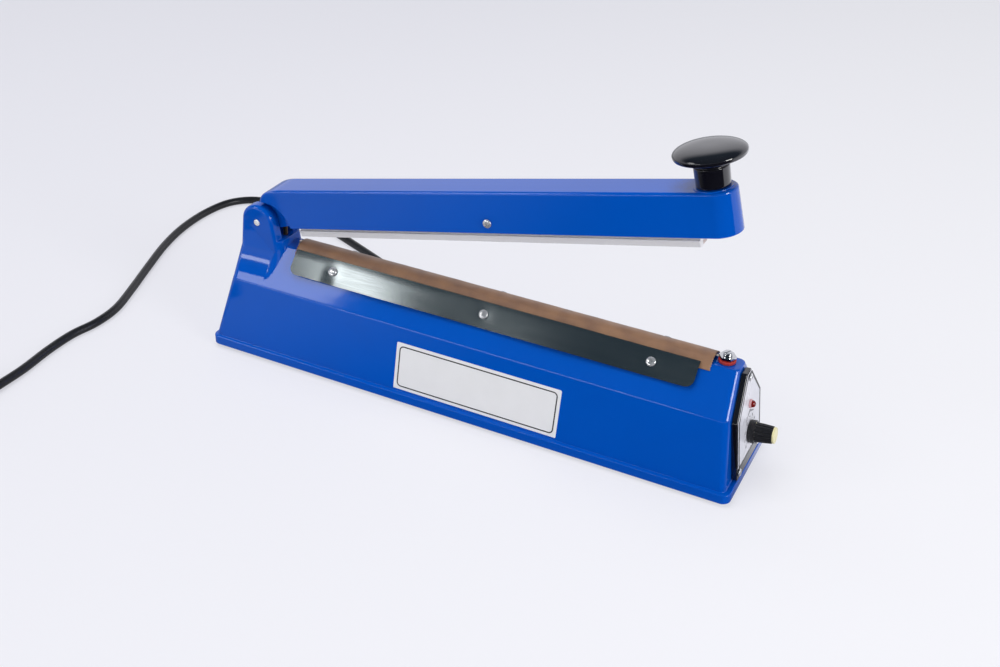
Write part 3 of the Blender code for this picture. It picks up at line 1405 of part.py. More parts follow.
def turned_part(name, profile, count, look, pivot):
    finish(name, lathe(bmesh.new(), profile, count, plain), look, pivot)


def timer_pieces(cap_look, metal_look, pivot):
    """Cap in the knob's tip and the shaft that turns with the knob."""
    seat = DIAL_KNOB_BASE + DIAL_KNOB_LENGTH + GAP
    low = seat - DIAL_CAP_SEAT
    high = seat + DIAL_CAP_HEIGHT
    edge = DIAL_CAP_HEIGHT / 4
    rim = DIAL_CAP_RADIUS
    cap = [(DIAL_CAP_SPIGOT_RADIUS, low), (DIAL_CAP_SPIGOT_RADIUS, seat), (rim, seat), (rim, high - edge),
           (rim - edge, high)]
    turned_part("knob_cap", cap, ROUND, cap_look, pivot)
    shaft = [(SHAFT_RADIUS, PANEL_FACE - POT_BORE_DEPTH + GAP),
             (SHAFT_RADIUS, DIAL_KNOB_BASE + SHAFT_GRIP - GAP)]
    turned_part("potentiometer_shaft", shaft, SMALL_ROUND, metal_look, pivot)


def potentiometer(look):
    """Body behind the wall and a neck that comes out through wall and panel."""
    front = -BASE_WALL - GAP
    bore = SHAFT_RADIUS + GAP
    profile = [(bore, PANEL_FACE - POT_BORE_DEPTH), (bore, PANEL_FACE), (POT_NECK_RADIUS, PANEL_FACE),
               (POT_NECK_RADIUS, front), (POT_RADIUS, front), (POT_RADIUS, front - POT_DEPTH)]
    finish("potentiometer", panel_bar(bmesh.new(), (0.0, DIAL_KNOB_UP), profile, ROUND), look)


def timer_board(look):
    """Circuit board behind the potentiometer with its relay and a capacitor."""
    face = -BASE_WALL - GAP - POT_DEPTH - GAP
    back = face - BOARD_THICKNESS
    low = DIAL_KNOB_UP - BOARD_HEIGHT / 2
    high = DIAL_KNOB_UP + BOARD_HEIGHT / 2
    half = BOARD_HALF_WIDTH
    plate = [(-half, low), (half, low), (half, high), (-half, high)]
    made = finish("timer_board", prism(bmesh.new(), plate, back, face, panel_point), look)
    parts = bmesh.new()
    inner = BOARD_THICKNESS / 2
    far = -inner - RELAY_HALF_WIDTH - RELAY_HALF_WIDTH
    relay = [(-inner, low + inner), (far, low + inner), (far, low + inner + RELAY_HEIGHT),
             (-inner, low + inner + RELAY_HEIGHT)]
    prism(parts, relay, back - RELAY_DEPTH, back + inner, panel_point)
    can = RELAY_HEIGHT / 2
    panel_bar(parts, (RELAY_HALF_WIDTH + can, high - can - inner),
              [(can, back - RELAY_DEPTH), (can, back + inner)])
    boolean(made, parts, "UNION")


# Inside

def transformer(core_look, wire_look):
    """Laminated core with two windows, standing on the cover, and the winding round its middle leg."""
    low = cover_top() + GAP
    high = low + CORE_HEIGHT
    start = CORE_PLACE - CORE_LENGTH / 2
    end = CORE_PLACE + CORE_LENGTH / 2
    depth = CORE_STACK / 2
    made = finish("transformer_core", box(bmesh.new(), (start, -depth, low), (end, depth, high)), core_look)
    windows = bmesh.new()
    side_leg = CORE_LEG / 2
    for first, last in ((start + side_leg, CORE_PLACE - side_leg), (CORE_PLACE + side_leg, end - side_leg)):
        box(windows, (first, -depth - OVERRUN, low + CORE_YOKE), (last, depth + OVERRUN, high - CORE_YOKE))
    boolean(made, windows)
    inner = side_leg + WINDING_CLEARANCE
    outer = CORE_LENGTH / 2 - side_leg - WINDING_CLEARANCE
    reach = depth + WINDING_OVERHANG
    bore = rounded_rectangle(-inner, inner, -depth - WINDING_CLEARANCE, depth + WINDING_CLEARANCE,
                             (WINDING_CLEARANCE,) * 4)
    skin = rounded_rectangle(-outer, outer, -reach, reach, (outer - inner,) * 4)
    base = low + CORE_YOKE + WINDING_CLEARANCE
    top = high - CORE_YOKE - WINDING_CLEARANCE
    rings = []
    for outline, level in ((bore, base), (skin, base), (skin, top), (bore, top)):
        rings.append([world(CORE_PLACE + a, b, level) for a, b in outline])
    finish("transformer_winding", loft(bmesh.new(), rings, True), wire_look)


def microswitch(look):
    half = SWITCH_THICKNESS / 2
    low = (SWITCH_START, -half, SWITCH_TOP_Z - SWITCH_HEIGHT)
    body = box(bmesh.new(), low, (SWITCH_START + SWITCH_LENGTH, half, SWITCH_TOP_Z))
    made = finish("microswitch", body, look)
    button = bmesh.new()
    upright(button, (plunger_place(), 0.0), PLUNGER_STEM_RADIUS, SWITCH_TOP_Z - SWITCH_BUTTON_HEIGHT,
            SWITCH_TOP_Z + SWITCH_BUTTON_HEIGHT)
    boolean(made, button, "UNION")


def plunger_top():
    """Height just under the raised arm's heel at the plunger's near edge."""
    reach = PLUNGER_ALONG - PLUNGER_RADIUS
    heel = PIN_Z + reach * math.tan(ARM_OPEN_ANGLE) + HEEL_HEIGHT / math.cos(ARM_OPEN_ANGLE)
    return heel - GAP


def switch_plunger(look, spring_look):
    """Pin through the slot's floor with a collar, and the coil that pushes it up."""
    place = (plunger_place(), 0.0)
    top = plunger_top()
    edge = PLUNGER_RADIUS / 3
    collar = PLUNGER_COLLAR_Z
    profile = [
        (PLUNGER_STEM_RADIUS, PLUNGER_STEM_LOW_Z), (PLUNGER_STEM_RADIUS, collar),
        (PLUNGER_COLLAR_RADIUS, collar), (PLUNGER_COLLAR_RADIUS, collar + PLUNGER_COLLAR_THICKNESS),
        (PLUNGER_RADIUS, collar + PLUNGER_COLLAR_THICKNESS), (PLUNGER_RADIUS, top - edge),
        (PLUNGER_RADIUS - edge, top),
    ]

    def placed(a, b, c):
        return plain(a, b, c - top)
    pivot = bpy.data.objects.new("plunger_axis", None)
    bpy.context.scene.collection.objects.link(pivot)
    pivot.location = world(place[0], place[1], top)
    finish("switch_plunger", lathe(bmesh.new(), profile, SMALL_ROUND, placed), look, pivot)
    wire = PLUNGER_SPRING_WIRE
    low = SWITCH_TOP_Z + GAP + wire
    high = collar - GAP - wire
    steps = PLUNGER_SPRING_TURNS * WIRE_STEPS_PER_TURN
    points = []
    for i in range(steps + 1):
        angle = math.tau * PLUNGER_SPRING_TURNS * i / steps
        points.append(world(place[0] + PLUNGER_SPRING_RADIUS * math.cos(angle),
                            PLUNGER_SPRING_RADIUS * math.sin(angle), low + (high - low) * i / steps))
    print("plunger spring gap", least_gap(points, wire, math.pi * PLUNGER_SPRING_RADIUS))
    tube("plunger_spring", points, wire, spring_look, 1)


# Supply lead

def cable_gland(look):
    """Ribbed boot that narrows towards the lead, with a flange and a neck in the housing."""
    face = gland_face() + GAP
    root = face + GLAND_FLANGE_THICKNESS
    tip = root + GLAND_LENGTH
    profile = [(GLAND_NECK_RADIUS, face - GLAND_NECK_LENGTH), (GLAND_NECK_RADIUS, face),
               (GLAND_FLANGE_RADIUS, face), (GLAND_FLANGE_RADIUS, root)]
    count = GLAND_RINGS + GLAND_RINGS
    for i in range(count + 1):
        share = i / count
        radius = GLAND_ROOT_RADIUS + (GLAND_TIP_RADIUS - GLAND_ROOT_RADIUS) * share
        dip = GLAND_RING_DEPTH if i % 2 else 0.0
        profile.append((radius - dip, root + GLAND_LENGTH * share))
    finish("cable_gland", crosswise(bmesh.new(), (GLAND_PLACE, GLAND_Z), profile, MEDIUM_ROUND), look)
    return tip


def smooth_path(knots, spacing):
    """Catmull-Rom curve through the knots, read off at even distances."""
    fine = []
    for i in range(len(knots) - 1):
        before = knots[max(i - 1, 0)]
        start, end = knots[i], knots[i + 1]
        after = knots[min(i + 2, len(knots) - 1)]
        for k in range(ROUND):
            t = k / ROUND
            fine.append((start * 2 + (end - before) * t + (before * 2 - start * 5 + end * 4 - after) * t * t
                         + (start * 3 - before - end * 3 + after) * t * t * t) / 2)
    fine.append(knots[-1])
    reach = [0.0]
    for first, second in zip(fine, fine[1:]):
        reach.append(reach[-1] + (second - first).length)
    count = max(round(reach[-1] / spacing), 2)
    wanted = [reach[-1] * i / count for i in range(count + 1)]
    axes = [np.interp(wanted, reach, [point[k] for point in fine]) for k in range(3)]
    return [Vector(point) for point in zip(*axes)]


def coil_low():
    """Height of the lead's middle in the coil's lower layer, which lies on its tie."""
    return LIE_CLEARANCE + TIE_THICKNESS + TIE_CLEARANCE + CORD_RADIUS


def cord(look, tip):
    """Lead from the boot over the table to the coil."""
    diameter = CORD_RADIUS + CORD_RADIUS
    start = world(GLAND_PLACE, tip + GAP, GLAND_Z)
    end = world(*COIL_START, coil_low())
    knots = [start + Vector((0.0, diameter, 0.0))] + [world(*point) for point in CORD_ROUTE]
    knots.append(end + Vector((0.0, diameter, 0.0)))
    points = [start] + smooth_path(knots, diameter + diameter + CORD_RADIUS) + [end]
    tube("cord", points, CORD_RADIUS, look, 2)
    print("free lead length", path_length(points))


def path_length(points):
    return sum((b - a).length for a, b in zip(points, points[1:]))


def plug_axis():
    """World place where the lead enters the plug; the plug points along +Y from it."""
    centre = coil_centre()
    return Vector((centre.x - COIL_RADIUS, centre.y + PLUG_LEAD + CORD_RADIUS + CORD_RADIUS,
                   LIE_CLEARANCE + PLUG_HALF_HEIGHT))


def coil_centre():
    start = world(*COIL_START, coil_low())
    return start - Vector((COIL_RADIUS, GAP + CORD_RADIUS + CORD_RADIUS, 0.0))


def cord_coil(look):
    """Two layers of loops that spiral in, climb while they turn back, and spiral out again."""
    diameter = CORD_RADIUS + CORD_RADIUS
    centre = coil_centre()
    points = [centre + Vector((COIL_RADIUS, diameter, 0.0))]
    turns = COIL_TURNS_DOWN + COIL_TURNS_DOWN
    steps = round(turns * COIL_POINTS_PER_TURN)
    for i in range(steps + 1):
        turn = turns * i / steps
        radius = COIL_RADIUS - COIL_PITCH * (COIL_TURNS_DOWN - abs(turn - COIL_TURNS_DOWN))
        climb = (turn - COIL_TURNS_DOWN + COIL_CLIMB_SHARE) / (COIL_CLIMB_SHARE + COIL_CLIMB_SHARE)
        climb = min(max(climb, 0.0), 1.0)
        level = COIL_PITCH * climb * climb * (3 - climb - climb)
        angle = -math.tau * turn
        points.append(centre + Vector((radius * math.cos(angle), radius * math.sin(angle), level)))
    last = points[-1]
    goal = plug_axis() - Vector((0.0, GAP + diameter, 0.0))
    for i in range(1, PLUG_LEAD_STEPS + 1):
        share = i / PLUG_LEAD_STEPS
        ease = share * share * (3 - share - share)
        points.append(Vector((last.x + (goal.x - last.x) * ease, last.y + (goal.y - last.y) * share,
                              last.z + (goal.z - last.z) * ease)))
    points.append(goal + Vector((0.0, diameter, 0.0)))
    tube("cord_coil", points, CORD_RADIUS, look, 1)
    print("coil gap", least_gap(points, CORD_RADIUS, math.pi * diameter))
    print("coiled lead length", path_length(points))


def coil_tie(look):
    """Strap round the bundle where its four stretches lie two by two."""
    centre = coil_centre()
    outer = COIL_RADIUS - COIL_PITCH * TIE_TURN_SHARE + CORD_RADIUS + TIE_CLEARANCE
    inner = outer - COIL_PITCH - (CORD_RADIUS + TIE_CLEARANCE) * 2
    low = centre.z - CORD_RADIUS - TIE_CLEARANCE
    high = centre.z + COIL_PITCH + CORD_RADIUS + TIE_CLEARANCE
    radius = CORD_RADIUS
    hole = rounded_rectangle(inner, outer, low, high, (radius,) * 4)
    grown = TIE_THICKNESS
    skin = rounded_rectangle(inner - grown, outer + grown, low - grown, high + grown, (radius + grown,) * 4)
    rings = []
    for outline, side in ((hole, -1), (skin, -1), (skin, 1), (hole, 1)):
        rings.append([Vector((centre.x + side * TIE_WIDTH / 2, centre.y - a, b)) for a, b in outline])
    finish("coil_tie", loft(bmesh.new(), rings, True), look)


def plug(body_look, pin_look):
    """Flat two-pin plug that lies on its side next to the coil."""
    origin = plug_axis()

    def placed(a, b, c):
        return origin + Vector((a, c, b))
    neck = PLUG_NECK_RADIUS
    flat = PLUG_HALF_HEIGHT
    edge = PLUG_EDGE
    stations = (
        (0.0, neck, neck, neck),
        (PLUG_GRIP_SHARE, neck + edge, neck + edge / 2, neck),
        (PLUG_SHOULDER_SHARE, PLUG_SHOULDER_HALF_WIDTH, flat, neck),
        (PLUG_FACE_SHARE, PLUG_HALF_WIDTH, flat, neck),
        (1.0, PLUG_HALF_WIDTH - edge, flat - edge, neck - edge),
    )
    rings = []
    for share, half, thick, radius in stations:
        outline = rounded_rectangle(-half, half, -thick, thick, (radius,) * 4)
        rings.append([placed(a, b, PLUG_LENGTH * share) for a, b in outline])
    made = finish("plug_body", loft(bmesh.new(), rings), body_look)
    sockets = bmesh.new()
    for number, side in enumerate((-1, 1), 1):
        def pinned(a, b, c, shift=side * PLUG_PIN_SPACING / 2):
            return placed(shift + a, b, c)
        bore = PLUG_PIN_RADIUS + GAP
        seat = PLUG_LENGTH - PLUG_PIN_SEAT
        lathe(sockets, [(bore, seat - GAP), (bore, PLUG_LENGTH + OVERRUN)], SMALL_ROUND, pinned)
        tip = PLUG_LENGTH + PLUG_PIN_LENGTH
        edge = PLUG_PIN_RADIUS / 2
        pin = [(PLUG_PIN_RADIUS, seat), (PLUG_PIN_RADIUS, tip - edge), (PLUG_PIN_RADIUS - edge, tip)]
        finish(f"plug_pin_{number}", lathe(bmesh.new(), pin, SMALL_ROUND, pinned), pin_look)
    boolean(made, sockets)


def build():
    clear_scene()
    blue = material("blue enamel", BLUE, 0.32)
    black = material("black plastic", BLACK, 0.38)
    rubber = material("black rubber", DARK_GREY, 0.75)
    steel = material("bright steel", STEEL, 0.28, 1.0)
    silver = material("pale anodised bar", SILVER, 0.45, 0.4)
    brass = material("brass", BRASS, 0.30, 1.0)
    cable = material("dark grey cable", DARK_GREY, 0.55)
    switch_grey = material("black switch", BLACK, 0.50)
    base_housing(blue)
    bottom_cover(material("painted cover", DARK_GREY, 0.50))
    cover_screws(steel)
    rubber_feet(rubber)
    clamp_plates(material("brushed steel plate", STEEL, 0.24, 1.0))
    plate_screws(steel)
    insulating_strip(material("fibre strip", FIBRE, 0.70))
    heating_element(material("resistance band", STEEL, 0.35, 1.0))
    ptfe_cloth(material("release cloth", CLOTH_BROWN, 0.42))
    element_spring(steel)
    terminal(material("red fibre washer", WASHER_RED, 0.60), steel, steel)
    hinge_pin(steel)
    return_spring(steel)
    pivot = bpy.data.objects.new("arm_axis", None)
    bpy.context.scene.collection.objects.link(pivot)
    pivot.location = world(PIN_FROM_END, 0.0, PIN_Z)
    pivot.rotation_euler = (0.0, -ARM_OPEN_ANGLE, 0.0)
    arm_shell(blue, pivot)
    pressing_bar(silver, pivot)
    silicone_strip(material("red silicone", SILICONE_RED, 0.60), pivot)
    bar_fixing(steel, pivot)
    handle_knob(black, pivot)
    knob_bolt(steel, pivot)
    panel_plates(black, material("dial face", LAVENDER, 0.35))
    panel_screws(steel)
    indicator_lamp(material("red lens", LAMP_RED, 0.15))
    dial = timer_pivot()
    timer_knob(black, dial)
    timer_pieces(material("cream cap", CREAM, 0.35), steel, dial)
    potentiometer(switch_grey)
    timer_board(material("circuit board", BOARD_GREEN, 0.50))
    core_look = material("laminated core", CORE_GREY, 0.55, 0.6)
    transformer(core_look, material("copper winding", COPPER, 0.40, 0.8))
    microswitch(switch_grey)
    switch_plunger(brass, steel)
    tip = cable_gland(rubber)
    cord(cable, tip)
    cord_coil(cable)
    coil_tie(rubber)
    plug(cable, brass)


build()
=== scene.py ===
# %% [markdown]
# # A hand impulse sealer on a pale table
# The device welds the mouths of plastic bags. An arm on a hinge presses a rubber strip
# on a hot band, a timer knob sets how long the band stays hot, and a lead brings power.
# The solids of the device were made earlier. This lesson dresses them: it
# loads them as a frame that never moves, and builds each visible piece again with finer
# forms and finishes, in the same place and of the same size.

# %% Load the frame
import math

import bmesh
import bpy
import numpy as np
from mathutils import Matrix, Vector


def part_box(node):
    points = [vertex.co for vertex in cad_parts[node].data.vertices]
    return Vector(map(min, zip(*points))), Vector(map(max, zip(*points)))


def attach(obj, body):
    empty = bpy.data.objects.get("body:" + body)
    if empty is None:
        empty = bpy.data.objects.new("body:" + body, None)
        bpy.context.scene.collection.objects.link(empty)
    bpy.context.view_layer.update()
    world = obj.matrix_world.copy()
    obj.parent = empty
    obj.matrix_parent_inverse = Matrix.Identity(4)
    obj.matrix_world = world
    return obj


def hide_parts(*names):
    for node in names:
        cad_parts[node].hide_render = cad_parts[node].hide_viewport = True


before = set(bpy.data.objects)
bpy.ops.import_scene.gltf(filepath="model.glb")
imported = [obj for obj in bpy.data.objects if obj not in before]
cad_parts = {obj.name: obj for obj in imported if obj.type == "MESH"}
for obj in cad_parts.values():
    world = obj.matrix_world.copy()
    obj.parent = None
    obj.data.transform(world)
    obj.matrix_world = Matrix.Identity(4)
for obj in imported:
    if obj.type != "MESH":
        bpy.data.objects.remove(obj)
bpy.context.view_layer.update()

# %% [markdown]
# ## Where things are
# The base is measured from its hinge end, so a length on the real base can be read
# straight off a ruler. Four small frames say how a piece is turned: the table, the arm
# that stands thirteen degrees open, the two slopes that carry the plates, and the
# leaning end face with the timer. A piece is first made upright at the origin and then
# carried to its frame by one matrix, which keeps every making function simple.

# %% Frames of the base, the arm, the slopes and the end face
overall_length = 0.430730
base_length = 0.415
base_half_width = 0.0419
foot_clearance = 0.0026
ledge_z, crease_z, deck_z = 0.0099, 0.0580, 0.0842
ledge_half, crease_half, deck_half = 0.0394, 0.0298, 0.0082
panel_lean = math.radians(7.1)
panel_ledge = 0.0042
arm_angle = math.radians(13.0)
pin_from_end, pin_z = 0.0316, 0.1021
small_gap = 0.0003


def along(distance):
    """World X of a place measured from the hinge end of the base."""
    return distance - overall_length / 2


def in_world(a, b, c):
    return Vector((along(a), b, c))


def frame_at(origin, across, up, out):
    """Matrix that carries local X, Y and Z to three world directions at an origin."""
    made = Matrix.Identity(4)
    for column, way in enumerate((across, up, out)):
        made.col[column] = (*Vector(way).normalized(), 0.0)
    made.col[3] = (*origin, 1.0)
    return made


sideways = (1, 0, 0), (0, 0, -1), (0, 1, 0)
base_frame = Matrix.Translation((along(0.0), 0.0, 0.0))
arm_frame = frame_at(in_world(pin_from_end, 0.0, pin_z), (math.cos(arm_angle), 0, math.sin(arm_angle)),
    (0, 1, 0), (-math.sin(arm_angle), 0, math.cos(arm_angle)))
end_out = Vector((math.cos(panel_lean), 0, math.sin(panel_lean)))
end_up = Vector((-math.sin(panel_lean), 0, math.cos(panel_lean)))
end_frame = frame_at(in_world(base_length - panel_ledge, 0, ledge_z), (0, 1, 0), end_up, end_out)


def slope_frame(side):
    """Local X runs along the base, Y down the slope from the deck's edge, and Z out of it."""
    fall = Vector((0, side * (crease_half - deck_half), crease_z - deck_z)).normalized()
    out = Vector((0, side * -fall.z, side * fall.y)).normalized()
    return frame_at(in_world(0, side * deck_half, deck_z), (1, 0, 0), fall, out)


def end_height(level):
    """Distance up the leaning end face to a height above the table."""
    return (level - ledge_z) / math.cos(panel_lean)


print("arm pin at", [round(v, 4) for v in arm_frame.translation])

# %% [markdown]
# ## The camera
# The photograph was taken from the front right, well above the table. The camera's
# place and turn were worked out from points on the object whose real places are known,
# such as the corners of the base and the ends of the arm. A lens of 45 mm on a 36 mm
# sensor gives the same narrowing of far edges, and no shift or blur is needed.

# %% Stand the camera where the photographer stood
image_width = 1000
focal_in_pixels = 1252.009
camera_yaw, camera_pitch, camera_roll = 0.447064, 0.556839, 0.031276
level_right = Vector((math.cos(camera_yaw), math.sin(camera_yaw), 0.0))
looking = Vector((-math.sin(camera_yaw) * math.cos(camera_pitch), math.cos(camera_yaw)
    * math.cos(camera_pitch), -math.sin(camera_pitch)))
level_up = level_right.cross(looking)
right = level_right * math.cos(camera_roll) + level_up * math.sin(camera_roll)
up = level_up * math.cos(camera_roll) - level_right * math.sin(camera_roll)
camera_lens = bpy.data.cameras.new("studio_camera")
camera_lens.sensor_fit = "HORIZONTAL"
camera_lens.sensor_width = 36.0
camera_lens.lens = camera_lens.sensor_width * focal_in_pixels / image_width
camera_lens.clip_start, camera_lens.clip_end = 0.02, 40.0
camera = bpy.data.objects.new("studio_camera", camera_lens)
bpy.context.scene.collection.objects.link(camera)
camera.matrix_world = frame_at(in_world(0.553013, -0.681458, 0.526500), right, up, -looking)
bpy.context.scene.camera = camera
print("lens", round(camera_lens.lens, 2), "mm")

# %% [markdown]
# ## Making a mesh
# Nearly every part of the device is either a row of outlines skinned together, a flat
# outline pushed through a depth, or a profile turned round an axis. Blender's own add
# menu could give cylinders and cubes, but their edges are knife-sharp and catch no
# light. These few helpers build the rings themselves, so that rounded edges are real
# geometry. Normals are weighted by face area, which keeps a broad flat wall flat right
# up to its rounded edge.

# %% Outlines, rings and skins
def arc(centre, radius, start, end, steps):
    turns = [start + (end - start) * i / steps for i in range(steps + 1)]
    return [(centre[0] + radius * math.cos(t), centre[1] + radius * math.sin(t)) for t in turns]


def rounded_rectangle(low_a, high_a, low_b, high_b, radii, steps=8):
    """Corner radii go round from (low, low) through (high, low), (high, high), (low, high)."""
    if not isinstance(radii, tuple):
        radii = (radii,) * 4
    corners = ((low_a, low_b, 1, 1), (high_a, low_b, -1, 1), (high_a, high_b, -1, -1), (low_a, high_b, 1, -1))
    points = []
    for k, ((a, b, way_a, way_b), radius) in enumerate(zip(corners, radii)):
        start = math.pi + k * math.pi / 2
        points += arc((a + way_a * radius, b + way_b * radius), radius, start, start + math.pi / 2, steps)
    return points


def fillet(before, corner, after, radius, steps=4):
    """Points of the round that joins two straight lines at a corner."""
    a = (Vector(before) - Vector(corner)).normalized()
    b = (Vector(after) - Vector(corner)).normalized()
    half = a.angle(b) / 2
    centre = Vector(corner) + (a + b).normalized() * (radius / math.sin(half))
    first = Vector(corner) + a * (radius / math.tan(half)) - centre
    last = Vector(corner) + b * (radius / math.tan(half)) - centre
    turn = first.angle_signed(last)
    points = []
    for i in range(steps + 1):
        c, s = math.cos(-turn * i / steps), math.sin(-turn * i / steps)
        points.append(tuple(centre + Vector((first.x * c - first.y * s, first.x * s + first.y * c))))
    return points


def rounded_outline(points, radius, steps=4):
    """A closed outline with every corner rounded."""
    made = []
    for i, point in enumerate(points):
        made += fillet(points[i - 1], point, points[(i + 1) % len(points)], radius, steps)
    return made


def loft(rings, closed=False, body=None):
    """Skin rings of equal point counts, and cap the two ends unless the row is closed."""
    body = body or bmesh.new()
    rows = [[body.verts.new(point) for point in ring] for ring in rings]
    for low, high in list(zip(rows, rows[1:])) + ([(rows[-1], rows[0])] if closed else []):
        for i in range(len(low)):
            j = (i + 1) % len(low)
            body.faces.new((low[i], low[j], high[j], high[i]))
    if not closed:
        body.faces.new(rows[0][::-1])
        body.faces.new(rows[-1])
    return body


def prism(outline, low, high, body=None, edge=0.0, edge_steps=3):
    """An outline of (x, y) pushed from one height to another, with rounded rims if edge is given."""
    middle = Vector((sum(a for a, b in outline) / len(outline), sum(b for a, b in outline) / len(outline)))
    reach = max((Vector(point) - middle).length for point in outline)
    levels = [(low, 0.0), (high, 0.0)]
    if edge:
        rise = arc((0, 0), edge, 0.0, math.pi / 2, edge_steps)
        levels = [(low + edge - b, edge - a) for a, b in reversed(rise)]
        levels += [(high - edge + b, edge - a) for a, b in rise]
    rings = []
    for level, inset in levels:
        rings.append([(*inset_point(outline, i, inset, reach), level) for i in range(len(outline))])
    return loft(rings, body=body)


def inset_point(outline, i, inset, reach):
    """A point of an anticlockwise outline moved inwards along its corner's bisector."""
    if not inset:
        return outline[i]
    here = Vector(outline[i])
    before, after = here - Vector(outline[i - 1]), Vector(outline[(i + 1) % len(outline)]) - here
    if before.length < reach * 1e-6 or after.length < reach * 1e-6:
        way = before if before.length > after.length else after
        normal = Vector((-way.y, way.x)).normalized()
        return tuple(here + normal * inset)
    a = Vector((-before.y, before.x)).normalized()
    b = Vector((-after.y, after.x)).normalized()
    bisector = (a + b).normalized()
    return tuple(here + bisector * (inset / max(bisector.dot(a), 0.3)))


def lathe(profile, count, closed=False):
    """A profile of (radius, height) turned round local Z."""
    turns = [math.tau * i / count for i in range(count)]
    rings = [[(r * math.cos(t), r * math.sin(t), h) for t in turns] for r, h in profile]
    return loft(rings, closed)


def soft_profile(points, radius, steps=4):
    """A turned profile whose inner corners are rounded; a radius may be given for each."""
    radii = radius if isinstance(radius, (list, tuple)) else [radius] * (len(points) - 2)
    made = [points[0]]
    for before, corner, after, size in zip(points, points[1:], points[2:], radii):
        made += fillet(before, corner, after, size, steps) if size else [corner]
    return made + [points[-1]]


def dome(radius, rise, base, steps, first=1, least=0.0002, fullness=1.0):
    """A turned profile that rounds over from its rim to the axis."""
    turns = [math.pi / 2 * i / steps for i in range(first, steps + 1)]
    return [(max(radius * math.cos(t) ** fullness, least), base + rise * math.sin(t)) for t in turns]


def moved(body, matrix):
    bmesh.ops.transform(body, matrix=matrix, verts=body.verts)
    return body


# %% [markdown]
# ## Turning a mesh into a piece
# A piece needs a name, a finish, a body to ride on and, where it stands for a solid of
# the frame, that solid's name. Doing all of it in one function means that no piece is
# left behind when the arm swings. Cuts and joins use the exact boolean and are applied
# at once, so the file keeps no hidden cutters.

# %% Pieces, cuts and joins
def as_object(name, body):
    bmesh.ops.recalc_face_normals(body, faces=body.faces)
    mesh = bpy.data.meshes.new(name)
    body.to_mesh(mesh)
    body.free()
    made = bpy.data.objects.new(name, mesh)
    bpy.context.scene.collection.objects.link(made)
    return made


def combined(target, body, operation="DIFFERENCE"):
    """Cut a closed form from a piece, or join it on, and keep only the result."""
    tool = as_object("tool", body)
    change = target.modifiers.new("combine", "BOOLEAN")
    change.operation, change.solver, change.object = operation, "EXACT", tool
    changed = target.evaluated_get(bpy.context.evaluated_depsgraph_get())
    result = bpy.data.meshes.new_from_object(changed)
    target.modifiers.clear()
    target.data = result
    bpy.data.objects.remove(tool, do_unlink=True)
    return target


def finished(made, look, stands_for=(), at=None, sharp=38.0, rides="base"):
    """Give a piece its finish, shading, place and body."""
    if at is not None:
        made.data.transform(at)
        if at.determinant() < 0:
            made.data.flip_normals()
    made.data.materials.clear()
    made.data.materials.append(finish[look])
    made.data.shade_smooth()
    made.data.set_sharp_from_angle(angle=math.radians(sharp))
    even = made.modifiers.new("even_normals", "WEIGHTED_NORMAL")
    even.keep_sharp = True
    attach(made, rides)
    if stands_for:
        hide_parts(*stands_for)
    return made


def piece(name, body, look, stands_for=(), at=None, sharp=38.0, rides="base"):
    return finished(as_object(name, body), look, stands_for, at, sharp, rides=rides)


# %% [markdown]
# ## Shared surface effects
# Real finishes are never even: enamel has a faint orange-peel ripple, plastic a fine
# moulded grain, steel the lines of its rolling, and every surface a little handling
# that changes its gloss. Each effect is a shader node group that is built once. The
# groups hand out only values and colours, so each material keeps its own shader and
# decides how strong an effect is.

# %% Make a node group with named inputs and outputs
def new_group(name, inputs, outputs):
    group = bpy.data.node_groups.new(name, "ShaderNodeTree")
    kinds = {"value": "NodeSocketFloat", "colour": "NodeSocketColor", "vector": "NodeSocketVector"}
    for label, kind, start in inputs:
        group.interface.new_socket(name=label, in_out="INPUT", socket_type=kinds[kind]).default_value = start
    for label, kind in outputs:
        group.interface.new_socket(name=label, in_out="OUTPUT", socket_type=kinds[kind])
    return group, group.nodes.new("NodeGroupInput").outputs, group.nodes.new("NodeGroupOutput").inputs


# %% Short words for the nodes that come back again and again
def step(tree, kind, links=None, **settings):
    """Add a node, set its properties and link or set its inputs."""
    node = tree.nodes.new("ShaderNode" + kind)
    for key, value in settings.items():
        setattr(node, key, value)
    for key, value in (links or {}).items():
        socket = node.inputs[key]
        if isinstance(value, bpy.types.NodeSocket):
            tree.links.new(value, socket)
        else:
            socket.default_value = value
    return node


def maths(tree, operation, *values, **settings):
    return step(tree, "Math", dict(enumerate(values)), operation=operation, **settings).outputs[0]


def ranged(tree, value, start, end, low=0.0, high=1.0, smooth=False):
    """A value carried from one range to another and held at both ends."""
    sockets = {"Value": value, "From Min": start, "From Max": end, "To Min": low, "To Max": high}
    kind = "SMOOTHSTEP" if smooth else "LINEAR"
    return step(tree, "MapRange", sockets, interpolation_type=kind).outputs["Result"]


def blended(tree, share, first, second):
    """A colour that goes from the first to the second as the share grows."""
    return step(tree, "Mix", {0: share, 6: first, 7: second}, data_type="RGBA").outputs[2]


def noise_of(tree, vector, scale, detail):
    return step(tree, "TexNoise", {"Vector": vector, "Scale": scale, "Detail": detail}).outputs["Fac"]


# %% Clouds: a soft value that wanders between two levels
levels = [("Low", "value", 0.0), ("High", "value", 1.0)]
clouds, given, put = new_group("Clouds", [("Scale", "value", 20.0), ("Detail", "value", 3.0)] + levels,
    [("Value", "value")])
place = step(clouds, "TexCoord").outputs["Object"]
noise = noise_of(clouds, place, given["Scale"], given["Detail"])
clouds.links.new(ranged(clouds, noise, 0.3, 0.7, given["Low"], given["High"]), put["Value"])

